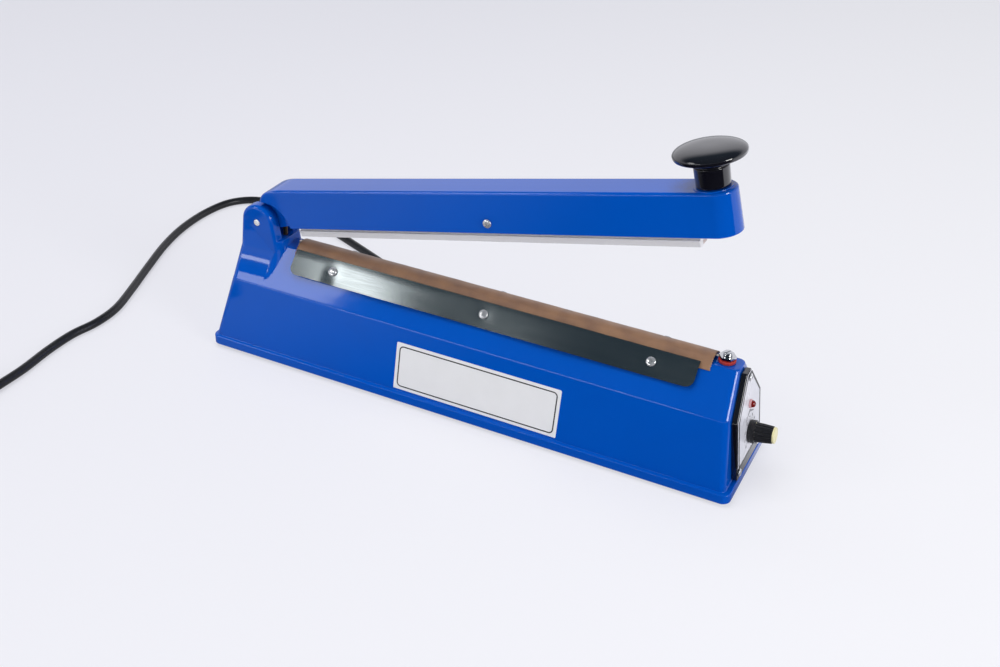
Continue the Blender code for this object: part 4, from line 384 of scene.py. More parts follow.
# %% Tinted: a colour that drifts towards a second one in soft patches and fine specks
tinted, given, put = new_group("Tinted",
    [("Colour", "colour", (1, 1, 1, 1)), ("Second", "colour", (0, 0, 0, 1)), ("Patch", "value", 12.0),
    ("Patch share", "value", 0.3), ("Speck", "value", 900.0), ("Speck share", "value", 0.1)],
    [("Colour", "colour")])
place = step(tinted, "TexCoord").outputs["Object"]
patches = ranged(tinted, noise_of(tinted, place, given["Patch"], 2.0), 0.35, 0.7, 0.0, given["Patch share"])
specks = ranged(tinted, noise_of(tinted, place, given["Speck"], 1.0), 0.62, 0.74, 0.0, given["Speck share"])
both = maths(tinted, "ADD", patches, specks, use_clamp=True)
tinted.links.new(blended(tinted, both, given["Colour"], given["Second"]), put["Colour"])

# %% Drawn lines: fine streaks that run one way, as rolling or brushing leaves them
lines, given, put = new_group("Drawn lines", [("Stretch", "vector", (4.0, 900.0, 900.0))] + levels,
    [("Value", "value")])
place = step(lines, "TexCoord").outputs["Object"]
drawn_out = step(lines, "VectorMath", {0: place, 1: given["Stretch"]}, operation="MULTIPLY").outputs["Vector"]
noise = noise_of(lines, drawn_out, 1.0, 3.0)
lines.links.new(ranged(lines, noise, 0.3, 0.7, given["Low"], given["High"]), put["Value"])

# %% Woven: crossing threads, from a map laid out in metres
woven, given, put = new_group("Woven", [("Threads", "value", 2200.0)], [("Height", "value")])
place = step(woven, "SeparateXYZ", {0: step(woven, "TexCoord").outputs["UV"]}).outputs
waves = []
for axis in "XY":
    turn = maths(woven, "MULTIPLY", place[axis], given["Threads"])
    waves.append(maths(woven, "SINE", maths(woven, "MULTIPLY", turn, math.pi)))
woven.links.new(ranged(woven, maths(woven, "MULTIPLY", *waves), -1.0, 1.0), put["Height"])
print("effects:", [group.name for group in bpy.data.node_groups])

# %% [markdown]
# ## One way to write a finish
# Every finish here is a Principled shader with a drifting base colour, a roughness that
# varies with handling, and a small bump. A function writes that pattern, so a finish
# can be read as a line of facts: its colour, how rough it is at its cleanest and at
# its dullest, and the size and depth of its grain. Numbers that are the same all over
# go straight on the shader.

# %% Write a finish
def surface(name, colour, second, roughness, metallic, patch, speck, grain, drawn=None, handled=25.0,
        **plain):
    made = bpy.data.materials.new(name)
    made.use_nodes = True
    made.diffuse_color = (*colour, 1.0)
    tree = made.node_tree
    shader = tree.nodes["Principled BSDF"].inputs

    def effect(group, **values):
        node = step(tree, "Group", node_tree=group)
        for label, value in values.items():
            node.inputs[label.replace("_", " ")].default_value = value
        return node.outputs[0]

    for label, value in {"Metallic": metallic, **plain}.items():
        shader[label.replace("_", " ")].default_value = value
    clean, dull = roughness
    tint = effect(tinted, Colour=(*colour, 1), Second=(*second, 1), Patch=patch[0], Patch_share=patch[1],
        Speck=speck[0], Speck_share=speck[1])
    if drawn:
        gloss = effect(lines, Stretch=drawn, Low=clean, High=dull)
        ripple = effect(lines, Stretch=drawn)
    else:
        gloss = effect(clouds, Scale=handled, Low=clean, High=dull)
        ripple = effect(clouds, Scale=grain[0], Detail=1.0)
    bump = step(tree, "Bump", {"Height": ripple, "Distance": grain[1], "Strength": 1.0}).outputs["Normal"]
    for source, label in ((tint, "Base Color"), (gloss, "Roughness"), (bump, "Normal")):
        tree.links.new(source, shader[label])
    return made


# %% [markdown]
# ## The finishes of this device
# The base and arm are metal castings in thick glossy blue enamel. It was put on wet
# and levelled itself, so its ripple is broad and very shallow. Its body colour is a
# pure deep blue, and what looks lighter in places is only the room in its gloss. The
# plates are bright rolled steel, the bar is pale anodised aluminium with lines along
# its length, and the handle is a hard glossy black resin.

# %% Every finish as a line of facts
# Its name and the slot it fills (the same if none is given), its colour and the second
# colour it drifts to, roughness when clean and when dull, metallic, patches and specks
# as size and share, grain as size and depth, and what else it needs.
finishes = [
    # Enamel, plastics and rubbers
    ("blue_enamel", "", (0.000, 0.088, 0.510), (0.000, 0.074, 0.440), (0.05, 0.09), 0.0, (9.0, 0.5),
     (1500.0, 0.05), (90.0, 0.00001), dict(handled=18.0, Specular_IOR_Level=0.38, Coat_Weight=0.25,
                                           Coat_Roughness=0.03)),
    ("black_resin", "black_plastic", (0.006, 0.006, 0.009), (0.015, 0.015, 0.020), (0.07, 0.12), 0.0,
     (30.0, 0.4), (2000.0, 0.04), (120.0, 0.000006), dict(Specular_IOR_Level=0.6, Coat_Weight=0.75,
                                                          Coat_Roughness=0.03)),
    ("black_plastic", "", (0.006, 0.006, 0.008), (0.016, 0.016, 0.019), (0.26, 0.36), 0.0, (40.0, 0.5),
     (2500.0, 0.3), (3000.0, 0.00003), {}),
    ("black_rubber", "", (0.020, 0.020, 0.022), (0.060, 0.058, 0.056), (0.62, 0.78), 0.0, (60.0, 0.4),
     (1800.0, 0.4), (2200.0, 0.00006), {}),
    ("cable_skin", "grey_cable", (0.009, 0.009, 0.011), (0.020, 0.020, 0.023), (0.24, 0.34), 0.0, (35.0, 0.4),
     (2600.0, 0.25), (1400.0, 0.00004), {}),
    ("cover_paint", "", (0.030, 0.031, 0.034), (0.055, 0.055, 0.058), (0.45, 0.6), 0.0, (20.0, 0.4),
     (1200.0, 0.3), (900.0, 0.00008), {}),
    ("cream_plastic", "cream_cap", (0.80, 0.74, 0.42), (0.70, 0.62, 0.34), (0.30, 0.42), 0.0, (120.0, 0.4),
     (2400.0, 0.15), (2600.0, 0.00002), {}),
    ("switch_plastic", "", (0.020, 0.020, 0.022), (0.040, 0.040, 0.044), (0.42, 0.52), 0.0, (14.0, 0.35),
     (900.0, 0.1), (2600.0, 0.00003), {}),
    ("red_silicone", "", (0.54, 0.44, 0.42), (0.60, 0.52, 0.50), (0.40, 0.52), 0.0, (40.0, 0.5),
     (1500.0, 0.2), (1600.0, 0.00004), dict(Subsurface_Weight=0.05)),
    ("red_fibre", "red_fibre_washer", (0.46, 0.030, 0.022), (0.28, 0.018, 0.014), (0.42, 0.58), 0.0,
     (300.0, 0.5), (3000.0, 0.5), (2400.0, 0.00006), {}),
    # Metals, and boards and wires inside
    ("bright_steel", "", (0.84, 0.84, 0.85), (0.66, 0.67, 0.69), (0.10, 0.20), 0.72, (200.0, 0.4),
     (2500.0, 0.2), (1200.0, 0.00001), dict(handled=150.0)),
    ("plate_steel", "", (0.335, 0.37, 0.38), (0.29, 0.325, 0.335), (0.20, 0.27), 1.0, (8.0, 0.6),
     (1800.0, 0.1), (0.0, 0.000004), dict(drawn=(5.0, 1500.0, 1500.0))),
    ("chromed_brass", "bright_steel", (0.72, 0.73, 0.75), (0.60, 0.61, 0.63), (0.03, 0.07), 1.0, (300.0, 0.3),
     (2500.0, 0.1), (900.0, 0.000004), dict(handled=200.0)),
    # The hinge rivet is painted near white with little metal, a painted reflection that stands in for the
    # bright glint of its chrome.
    ("white_rivet", "bright_steel", (0.93, 0.93, 0.95), (0.84, 0.84, 0.86), (0.12, 0.22), 0.25, (300.0, 0.4),
     (2500.0, 0.2), (1200.0, 0.00001), {}),
    ("spring_steel", "", (0.42, 0.43, 0.46), (0.30, 0.30, 0.33), (0.20, 0.32), 1.0, (14.0, 0.35),
     (900.0, 0.1), (900.0, 0.00001), {}),
    ("bar_aluminium", "", (0.82, 0.80, 0.80), (0.74, 0.72, 0.72), (0.38, 0.50), 0.1, (10.0, 0.5),
     (2400.0, 0.2), (0.0, 0.000015), dict(drawn=(8.0, 2200.0, 2200.0))),
    ("band_alloy", "resistance_band", (0.66, 0.62, 0.56), (0.40, 0.34, 0.30), (0.25, 0.4), 1.0, (60.0, 0.6),
     (900.0, 0.1), (0.0, 0.00001), dict(drawn=(6.0, 2500.0, 2500.0))),
    # This brass is painted dark: its colour carries the shade of the slot between the ears where the plunger
    # sits, and the plug pins share it.
    ("brass_metal", "brass", (0.22, 0.15, 0.07), (0.12, 0.08, 0.04), (0.36, 0.5), 1.0, (180.0, 0.5),
     (900.0, 0.1), (1500.0, 0.00001), {}),
    ("core_steel", "", (0.16, 0.16, 0.17), (0.24, 0.15, 0.09), (0.4, 0.6), 0.7, (60.0, 0.5), (900.0, 0.1),
     (0.0, 0.0001), dict(drawn=(30.0, 2000.0, 30.0))),
    ("copper_wire", "", (0.60, 0.22, 0.09), (0.38, 0.12, 0.05), (0.25, 0.4), 0.9, (60.0, 0.5), (900.0, 0.1),
     (0.0, 0.0002), dict(drawn=(20.0, 20.0, 1600.0))),
    ("green_board", "", (0.016, 0.14, 0.045), (0.05, 0.22, 0.09), (0.25, 0.4), 0.0, (250.0, 0.5),
     (1200.0, 0.5), (900.0, 0.00005), {}),
    ("sand_fibre", "fibre_strip", (0.56, 0.40, 0.24), (0.42, 0.28, 0.15), (0.5, 0.68), 0.0, (120.0, 0.5),
     (2200.0, 0.4), (1800.0, 0.00006), {}),
    # Printed faces
    ("dial_print", "dial_face", (0.72, 0.72, 0.78), (0.66, 0.66, 0.72), (0.22, 0.34), 0.0, (40.0, 0.4),
     (2800.0, 0.1), (1200.0, 0.00001), dict(Specular_IOR_Level=0.5)),
    ("label_paper", "dial_face", (0.84, 0.835, 0.84), (0.79, 0.785, 0.79), (0.34, 0.46), 0.0, (60.0, 0.4),
     (3500.0, 0.15), (2600.0, 0.000008), {}),
    ("black_ink", "dial_face", (0.020, 0.020, 0.022), (0.045, 0.045, 0.05), (0.35, 0.45), 0.0, (400.0, 0.4),
     (4000.0, 0.2), (3000.0, 0.000004), {}),
    ("grey_ink", "dial_face", (0.22, 0.22, 0.25), (0.30, 0.30, 0.33), (0.35, 0.45), 0.0, (400.0, 0.4),
     (4000.0, 0.2), (3000.0, 0.000004), {}),
    # Release cloth, red lens and its rim
    ("release_cloth", "", (0.330, 0.180, 0.100), (0.210, 0.115, 0.075), (0.30, 0.44), 0.0, (70.0, 0.8),
     (1500.0, 0.25), (700.0, 0.00002), dict(Sheen_Weight=0.1)),
    ("red_lens", "", (0.30, 0.006, 0.006), (0.20, 0.003, 0.003), (0.06, 0.10), 0.0, (300.0, 0.5),
     (2000.0, 0.1), (600.0, 0.00002), dict(Transmission_Weight=0.35, IOR=1.49)),
    ("pale_rose", "red_lens", (0.74, 0.42, 0.44), (0.66, 0.34, 0.36), (0.18, 0.28), 0.0, (300.0, 0.4),
     (2500.0, 0.1), (1500.0, 0.00001), {}),
]
finish, slot_of = {}, {}
for name, slot, *facts, more in finishes:
    finish[name], slot_of[name] = surface(name, *facts, **more), slot or name

# %% Threads of glass under the cloth's slippery skin
tree = finish["release_cloth"].node_tree
threads = step(tree, "Group", node_tree=woven).outputs["Height"]
tree.links.new(threads, tree.nodes["Bump"].inputs["Height"])
tree.nodes["Bump"].inputs["Distance"].default_value = 0.00003
print("finishes:", len(bpy.data.materials))

# %% [markdown]
# ## The table and the light
# The device stands on a pale table that runs back into a pale wall, lit by large soft
# boxes: behind the camera on the left, low on the right, in front and overhead. A sweep
# of cloth would be the studio's way. Here the table is one wide floor, and the world is
# its wall. Most of the floor's paleness is its own glow, so it stays even to its far
# edge, and the rest is real light, which keeps the soft shadow under the device. Near the
# device the glow is painted darker towards the left, a painted falloff of light. Glossy
# enamel needs something dark to mirror, or its blue turns milky. So mirrors see a floor
# that is dark in front of the device, grey to its left and white behind its right end.

# %% Lay the table
pale = (0.868, 0.868, 0.925, 1.0)
table_body = bmesh.new()
bmesh.ops.create_grid(table_body, x_segments=8, y_segments=8, size=9.0)
table = as_object("table", table_body)
table.location.z = -0.0001
table_top = bpy.data.materials.new("table_top")
table_top.use_nodes = True
tree = table_top.node_tree
shader = tree.nodes["Principled BSDF"]
for label, value in (("Base Color", (0.84, 0.84, 0.89, 1.0)), ("Roughness", 0.6),
        ("Specular IOR Level", 0.2)):
    shader.inputs[label].default_value = value

# %% The colour of its glow, for the eye and for mirrors
rays = step(tree, "LightPath").outputs
spot = step(tree, "TexCoord").outputs["Object"]
place = step(tree, "SeparateXYZ", {0: spot}).outputs
right_of_hinge = ranged(tree, place["X"], -0.34, -0.04, smooth=True)
in_front = ranged(tree, place["Y"], 0.04, -0.06)
dark_patch = maths(tree, "MULTIPLY", right_of_hinge, in_front)
mirrored = blended(tree, dark_patch, (0.42, 0.43, 0.46, 1.0), (0.0, 0.0, 0.01, 1.0))
open_end = ranged(tree, place["X"], 0.12, 0.20)
at_rear = ranged(tree, place["Y"], 0.0, 0.06)
mirrored = blended(tree, maths(tree, "MULTIPLY", open_end, at_rear), mirrored, (0.92, 0.93, 1.0, 1.0))
# Painted shade: the glow the camera sees is darker on the left and paler on the right, a painted falloff of
# light.
painted_light_to_right = ranged(tree, place["X"], -0.70, 0.60, smooth=True)
looked_at = blended(tree, painted_light_to_right, (0.80, 0.80, 0.87, 1.0), (0.945, 0.945, 0.985, 1.0))
far_off = ranged(tree, step(tree, "VectorMath", {0: spot}, operation="LENGTH").outputs["Value"], 1.0, 2.6,
    smooth=True)
looked_at = blended(tree, far_off, looked_at, pale)
glow = step(tree, "Emission", {"Color": blended(tree, rays["Is Glossy Ray"], looked_at, mirrored),
    "Strength": 1.0})

# %% How much of it glows
seen = maths(tree, "MAXIMUM", rays["Is Camera Ray"], rays["Is Glossy Ray"])
seen = maths(tree, "MAXIMUM", seen, rays["Is Transmission Ray"])
share = maths(tree, "ADD", maths(tree, "MULTIPLY", seen, 0.66), maths(tree, "MULTIPLY", rays["Is Glossy Ray"],
    0.34))
share = maths(tree, "MAXIMUM", share, maths(tree, "MULTIPLY", far_off, seen))
blend = step(tree, "MixShader", {0: share, 1: shader.outputs[0], 2: glow.outputs[0]})
tree.links.new(blend.outputs[0], tree.nodes["Material Output"].inputs["Surface"])
table.data.materials.append(table_top)

# %% The room: pale at eye level, dim overhead and in front
world = bpy.data.worlds.new("studio")
bpy.context.scene.world = world
world.use_nodes = True
tree = world.node_tree
way = step(tree, "SeparateXYZ", {0: step(tree, "TexCoord").outputs["Generated"]}).outputs
rise = ranged(tree, maths(tree, "MULTIPLY_ADD", way["Y"], -0.3, way["Z"]), 0.25, 0.60, smooth=True)
room = blended(tree, rise, (0.60, 0.60, 0.64, 1.0), (0.040, 0.064, 0.085, 1.0))
rays = step(tree, "LightPath").outputs
rear_mirrored = maths(tree, "MULTIPLY", rays["Is Glossy Ray"], ranged(tree, way["Y"], 0.0, 0.3))
background = tree.nodes["Background"].inputs
tree.links.new(blended(tree, rays["Is Camera Ray"], room, pale), background["Color"])
tree.links.new(maths(tree, "MULTIPLY_ADD", rear_mirrored, 0.32, 1.0), background["Strength"])


# %% Hang the soft boxes
def soft_box(name, place, aim, width, height, power, mirrored=True, lights=True):
    lamp = bpy.data.lights.new(name, "AREA")
    lamp.shape = "RECTANGLE"
    lamp.size, lamp.size_y, lamp.energy = width, height, power
    lamp.color = (1.0, 0.99, 0.975)
    made = bpy.data.objects.new(name, lamp)
    bpy.context.scene.collection.objects.link(made)
    made.location = place
    made.visible_glossy, made.visible_diffuse = mirrored, lights
    made.rotation_euler = (Vector(aim) - Vector(place)).to_track_quat("-Z", "Y").to_euler()


soft_box("left_box", (-1.215, -0.97, 1.10), (-0.05, 0, 0.07), 0.60, 0.47, 3.8)
soft_box("right_box", (1.55, -0.45, 0.75), (0, 0, 0.05), 0.55, 0.65, 13.0)
soft_box("top_box", (-0.30, -0.10, 1.80), (0, 0, 0.05), 1.6, 1.3, 24.0, mirrored=False)
soft_box("front_fill", (-0.40, -1.60, 1.10), (0, 0, 0.05), 1.4, 0.9, 5.0, mirrored=False)
soft_box("edge_strip", (-0.90, -1.60, 0.42), (0, 0, 0.08), 1.5, 0.13, 3.6, lights=False)
bpy.context.scene.view_settings.view_transform = "Standard"

# %% [markdown]
# ## The supply lead
# A lead is a fixed length of stiff round cable. It leaves a ribbed boot at the back of
# the base, falls to the table, runs out to the left and forward again past the hinge
# end, and the rest is wound into a flat coil with its plug beside it. One curve through
# the same points as the solid lead keeps it one unbroken piece, and a curve's bevel
# gives it a truly round skin. The points are read finely, so the bends are smooth.

# %% The lead's way over the table and round its coil
cord_radius = 0.0033
cord_route = [(0.1300, 0.0880, 0.0228), (0.1180, 0.1010, 0.0165), (0.0930, 0.1120, 0.0075),
    (0.0650, 0.1230, 0.0036), (0.0321, 0.1373, 0.0034), (-0.0004, 0.1512, 0.0034), (-0.0350, 0.1650, 0.0034),
    (-0.0780, 0.1790, 0.0034), (-0.1130, 0.1790, 0.0034), (-0.1343, 0.1635, 0.0034),
    (-0.1421, 0.1361, 0.0034), (-0.1414, 0.1005, 0.0034), (-0.1338, 0.0650, 0.0034),
    (-0.1206, 0.0267, 0.0034), (-0.1075, -0.0090, 0.0034), (-0.0977, -0.0395, 0.0034),
    (-0.0965, -0.0640, 0.0034), (-0.1005, -0.0860, 0.0034), (-0.1005, -0.1116, 0.0034),
    (-0.0976, -0.1399, 0.0036), (-0.0969, -0.1643, 0.0042)]
coil_low, coil_radius, coil_pitch, turns_down = 0.0047, 0.0395, 0.0073, 1.75
gland_place, gland_z = 0.1300, 0.0240
gland_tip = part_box("cable_gland")[1].y
cord_start = in_world(gland_place, gland_tip + small_gap, gland_z)
cord_end = in_world(-0.0969, -0.1900, coil_low)
coil_centre = cord_end - Vector((coil_radius, small_gap + cord_radius * 2, 0.0))
plug_origin = Vector((coil_centre.x - coil_radius, coil_centre.y + 0.030 + cord_radius * 2, 0.0069))


def smooth_path(knots, steps=6):
    """A curve that passes through every knot without corners."""
    fine = []
    for i in range(len(knots) - 1):
        before, start, end = knots[max(i - 1, 0)], knots[i], knots[i + 1]
        after = knots[min(i + 2, len(knots) - 1)]
        for k in range(steps):
            t = k / steps
            fine.append((start * 2 + (end - before) * t + (before * 2 - start * 5 + end * 4 - after) * t * t
                + (start * 3 - before - end * 3 + after) * t * t * t) / 2)
    return fine + [knots[-1]]


straight = Vector((0.0, cord_radius * 2, 0.0))
cord_line = [cord_start] + smooth_path([cord_start + straight] + [in_world(*point) for point in cord_route]
    + [cord_end + straight])
turns = turns_down * 2
coil_steps = round(turns * 40)
for i in range(coil_steps + 1):
    turn = turns * i / coil_steps
    radius = coil_radius - coil_pitch * (turns_down - abs(turn - turns_down))
    climb = min(max((turn - turns_down + 0.25) / 0.5, 0.0), 1.0)
    spot = Vector((radius * math.cos(math.tau * turn), -radius * math.sin(math.tau * turn), coil_pitch * climb
        * climb * (3 - climb * 2)))
    cord_line.append(coil_centre + spot)
last, goal = cord_line[-1], plug_origin - Vector((0.0, small_gap, 0.0)) - straight
for i in range(1, 13):
    share = i / 12
    ease = share * share * (3 - share * 2)
    cord_line.append(Vector((last.x + (goal.x - last.x) * ease, last.y + (goal.y - last.y) * share, last.z
        + (goal.z - last.z) * ease)))
cord_line.append(goal + straight)

# %% The lead as one curve
lead_curve = bpy.data.curves.new("supply_lead", "CURVE")
lead_curve.dimensions = "3D"
lead_curve.bevel_depth, lead_curve.bevel_resolution = cord_radius, 6
lead_curve.use_fill_caps = True
line = lead_curve.splines.new("POLY")
line.points.add(len(cord_line) - 1)
for target, point in zip(line.points, cord_line):
    target.co = (*point, 1.0)
line.use_smooth = True
lead_curve.materials.append(finish["cable_skin"])
supply_lead = bpy.data.objects.new("supply_lead", lead_curve)
bpy.context.scene.collection.objects.link(supply_lead)
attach(supply_lead, "base")
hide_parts("cord", "cord_coil")

# %% [markdown]
# ## The boot, the tie and the plug
# A boot spreads the lead's bend so that it doesn't break at the housing. Its ribs are
# turned as one profile whose radius dips between them. The plug is a flat body with
# round pins, skinned from rounded outlines that widen from the neck to the grip and
# close again at the face. The tie is a strap of rubber round the coil's bundle.

# %% Boot
gland_frame = frame_at(in_world(gland_place, gland_tip, gland_z), *sideways)
gland_length, root_radius, tip_radius = 0.0320, 0.0062, 0.0044
ribs, rib_depth = 7, 0.00055
boot = [(0.0052, -0.043), (0.0052, -0.0342), (0.0078, -0.0342), (0.0078, -0.0328), (0.0073, -0.0322)]
for i in range(41):
    share = i / 40
    radius = root_radius + (tip_radius - root_radius) * share
    dip = rib_depth * (0.5 - 0.5 * math.cos(math.tau * share * ribs)) ** 0.5
    boot.append((radius - dip, -gland_length * (1 - share)))
boot += [(0.0038, -0.0002), (0.0034, 0.0)]
lead_boot = piece("lead_boot", lathe(boot, 40), "black_rubber", ["cable_gland"], gland_frame, 50)

# %% Tie
strap_thick, strap_half = 0.0008, 0.0025
outer = coil_radius - coil_pitch * 0.25 + cord_radius + 0.0005
inner = outer - coil_pitch - cord_radius * 2 - 0.0010
below, above = coil_low - cord_radius - 0.0005, coil_low + coil_pitch + cord_radius + 0.0005
hole = rounded_rectangle(inner, outer, below, above, 0.0033)
skin = rounded_rectangle(inner - strap_thick, outer + strap_thick, below - strap_thick, above + strap_thick,
    0.0041)
walls = [(hole, -strap_half), (skin, -strap_half), (skin, strap_half), (hole, strap_half)]
strap = loft([[(coil_centre.x + x, coil_centre.y - a, b) for a, b in outline] for outline, x in walls], True)
lead_tie = piece("lead_tie", strap, "black_rubber", ["coil_tie"])

# %% Plug
plug_frame = frame_at(plug_origin, *sideways)
stations = [(0.0, 0.0046, 0.0046, 0.0045), (0.0012, 0.0050, 0.0050, 0.0049), (0.0098, 0.0058, 0.0055, 0.0050),
    (0.0125, 0.0078, 0.0062, 0.0050), (0.0150, 0.0112, 0.0067, 0.0052), (0.0165, 0.0128, 0.0068, 0.0052),
    (0.0200, 0.0134, 0.0068, 0.0052), (0.0250, 0.0152, 0.0068, 0.0052), (0.0300, 0.0169, 0.0068, 0.0052),
    (0.0322, 0.0175, 0.0068, 0.0052), (0.0338, 0.0174, 0.0067, 0.0050), (0.0347, 0.0170, 0.0063, 0.0046),
    (0.0350, 0.0164, 0.0057, 0.0040)]
grip = loft([[(a, b, z) for a, b in rounded_rectangle(-w, w, -h, h, r, 6)] for z, w, h, r in stations])
plug = piece("plug", grip, "cable_skin", ["plug_body"], plug_frame, 50)
sleeved_pins = []
for number, side in enumerate((-1, 1), 1):
    at = plug_frame @ Matrix.Translation((side * 0.0093, 0, 0.0310))
    tip = soft_profile([(0.0020, 0.0), (0.0020, 0.0230), (0.0001, 0.0230)], 0.0012, 4)
    pin = piece(f"plug_pin_metal_{number}", lathe(tip, 24), "brass_metal", [f"plug_pin_{number}"], at)
    sleeve = lathe([(0.0020, 0.0), (0.00205, 0.0), (0.00205, 0.0135), (0.0020, 0.0138)], 24, closed=True)
    sleeved_pins += [pin, piece(f"plug_pin_sleeve_{number}", sleeve, "black_plastic", (), at)]

# %% [markdown]
# ## The housing
# The base is one casting: a flange that stands on the table, leaning walls up to a
# crease, two upper slopes that carry the plates, and a narrow flat deck for the hot
# band. At the hinge end a block grows out of the slopes and ends in two ears. It is
# skinned ring by ring from the table up. The crease and the deck's edge get their own
# small rounds in the rings, because those lines of light are what the eye finds first.

# %% Section and ends of the housing
side_line = [(ledge_half, ledge_z), (crease_half, crease_z), (deck_half, deck_z), (0.0, deck_z)]
hinge_line = [(0.0025, ledge_z), (0.0137, crease_z), (0.0175, deck_z)]
panel_line = [(panel_ledge, ledge_z), (panel_ledge + (deck_z - ledge_z) * math.tan(panel_lean), deck_z)]


def reach_at(line_points, level):
    return float(np.interp(level, [z for _, z in line_points], [reach for reach, _ in line_points]))


def housing_ring(level, half, radius, more=0.0, foot=False, end_radius=None):
    start = 0.0 if foot else reach_at(hinge_line, level)
    end = 0.0 if foot else reach_at(panel_line, level)
    radii = (radius, end_radius or radius, end_radius or radius, radius)
    outline = rounded_rectangle(start + more, base_length - end - more, -half, half, radii, 12)
    return [in_world(a, b, level) for a, b in outline]


chamfer, flange_corner, flange_round, ledge_round, deck_round = 0.0004, 0.0060, 0.0011, 0.0007, 0.0016
rings = [housing_ring(foot_clearance, base_half_width - chamfer, flange_corner - chamfer, chamfer, True),
    housing_ring(foot_clearance + chamfer, base_half_width, flange_corner, 0.0, True)]
for a, b in arc((0, 0), flange_round, 0.0, math.pi / 2, 5):
    inset = flange_round - a
    rings.append(housing_ring(ledge_z - flange_round + b, base_half_width - inset, flange_corner - inset,
        inset, True))
for a, b in arc((0, 0), ledge_round, -math.pi / 2, -math.pi + 0.2, 4):
    rings.append(housing_ring(ledge_z + ledge_round + b, ledge_half + ledge_round + a, 0.0042 + a,
        -ledge_round - a))
for half, level in fillet(side_line[0], side_line[1], side_line[2], 0.0042, 6):
    rings.append(housing_ring(level, half, 0.0055))
edge = fillet(side_line[1], side_line[2], side_line[3], deck_round, 8)
for half, level in edge:
    rise = min((level - edge[0][1]) / (deck_z - edge[0][1]), 1.0)
    rings.append(housing_ring(level, half, 0.0030, deck_round * (1 - math.sqrt(1 - rise * rise)),
        end_radius=0.0045))
housing = as_object("enamelled_housing", loft(rings))

# %% The block and the ears that carry the hinge
ear_half, slot_half, ear_radius, ear_round = 0.0157, 0.0069, 0.0135, 0.0028
block_rings = []
for level, start, end, half, left, right_radius in ((0.0575, 0.0137, 0.0490, 0.0298, 0.0055, 0.0075),
        (0.0809, 0.0150, 0.0520, 0.0155, 0.0030, 0.0075), (0.0887, 0.0161, 0.0509, 0.0155, 0.0030, 0.0075),
        (0.0893, 0.0163, 0.0507, 0.0153, 0.0029, 0.0073), (0.0895, 0.0168, 0.0502, 0.0148, 0.0026, 0.0068)):
    outline = rounded_rectangle(start, end, -half, half, (left, right_radius, right_radius, left), 10)
    block_rings.append([in_world(a, b, level) for a, b in outline])
combined(housing, loft(block_rings), "UNION")


def touching(centre, radius, point, way):
    """Angle on a circle where a line from an outside point touches it."""
    run = (point[0] - centre[0], point[1] - centre[1])
    return math.atan2(run[1], run[0]) + way * math.acos(radius / math.hypot(*run))


def ear_outline(inset):
    left, right_foot = (0.0152 + inset, 0.0804), (0.0488 - inset, 0.0804)
    centre, radius = (pin_from_end, pin_z), ear_radius - inset
    start = touching(centre, radius, right_foot, 1)
    end = touching(centre, radius, left, -1) % math.tau
    return [left, right_foot] + arc(centre, radius, start, end, 28)


ears = bmesh.new()
for side in (-1, 1):
    ear_rings = [[in_world(a, side * slot_half, b) for a, b in ear_outline(0.0003)],
        [in_world(a, side * (slot_half + 0.0003), b) for a, b in ear_outline(0.0)]]
    for reach, out in arc((0, 0), ear_round, 0.0, math.pi / 2, 8):
        across = side * (ear_half - ear_round + out)
        ear_rings.append([in_world(a, across, b) for a, b in ear_outline(ear_round - reach)])
    loft(ear_rings, body=ears)
combined(housing, ears, "UNION")

# %% Hollow it and finish it
hollow_levels = [(-0.0014, 0.0393, 0.0026, 0.0026, 0.0034), (0.0073, 0.0393, 0.0026, 0.0026, 0.0034),
    (0.0080, 0.0366, 0.0060, 0.0068, 0.0030), (0.0570, 0.0268, 0.0170, 0.0127, 0.0030),
    (0.0812, 0.0070, 0.0206, 0.0157, 0.0030)]
hollow_rings = []
for level, half, start, end, radius in hollow_levels:
    outline = rounded_rectangle(start, base_length - end, -half, half, radius, 4)
    hollow_rings.append([in_world(a, b, level) for a, b in outline])
combined(housing, loft(hollow_rings))
pad = moved(lathe([(0.0090, 0.0), (0.0090, 0.0086), (0.0086, 0.0090)], 40),
    frame_at(in_world(gland_place, 0.0310, gland_z), *sideways))
combined(housing, pad, "UNION")
bores = moved(lathe([(0.0028, -0.03), (0.0028, 0.03)], 32), frame_at(in_world(pin_from_end, 0, pin_z),
    *sideways))
combined(housing, bores)
combined(housing, moved(lathe([(0.0021, 0.07), (0.0021, 0.10)], 24),
    Matrix.Translation((along(0.0456), 0, 0))))
finished(housing, "blue_enamel", ["base_housing"], sharp=32)
print("housing:", len(housing.data.polygons), "faces")

# %% [markdown]
# ## The arm
# The arm is a long shallow channel, open below, with a square tail at the hinge and a
# round free end under the handle. Seen from above its sides are straight, so every
# level has the same plan outline, a little wider at the bottom. A round bite in its
# lower edge clears the ears when it swings. Inside, two lugs reach down to the pin.

# %% Plan outlines of the arm, skinned and hollowed
arm_top, arm_bottom, knob_along = 0.0242, -0.0050, 0.3518
arm_half_low, arm_half_top, arm_wall = 0.0140, 0.0131, 0.0025
tail_round_from, tail_round_rise, tail_round_run, tail_corner = 0.0150, 0.0092, 0.0170, 0.003


def arm_half(height):
    """Half the arm's width, which narrows a little towards its top."""
    return arm_half_low + (arm_half_top - arm_half_low) * (height - arm_bottom) / (arm_top - arm_bottom)


def arm_ring(height, inset, shift=0.0):
    half = arm_half(height) - inset
    climb = min(max((height - tail_round_from) / tail_round_rise, 0.0), 1.0)
    start = 0.0220 - tail_round_run * math.sqrt(1.0 - climb * climb) + inset
    outline = arc((knob_along, 0.0), half, -math.pi / 2, math.pi / 2, 26)
    outline += arc((start + tail_corner, half - tail_corner), tail_corner, math.pi / 2, math.pi, 8)
    outline += arc((start + tail_corner, tail_corner - half), tail_corner, math.pi, math.pi * 3 / 2, 8)
    return [(a, b, height + shift) for a, b in outline]


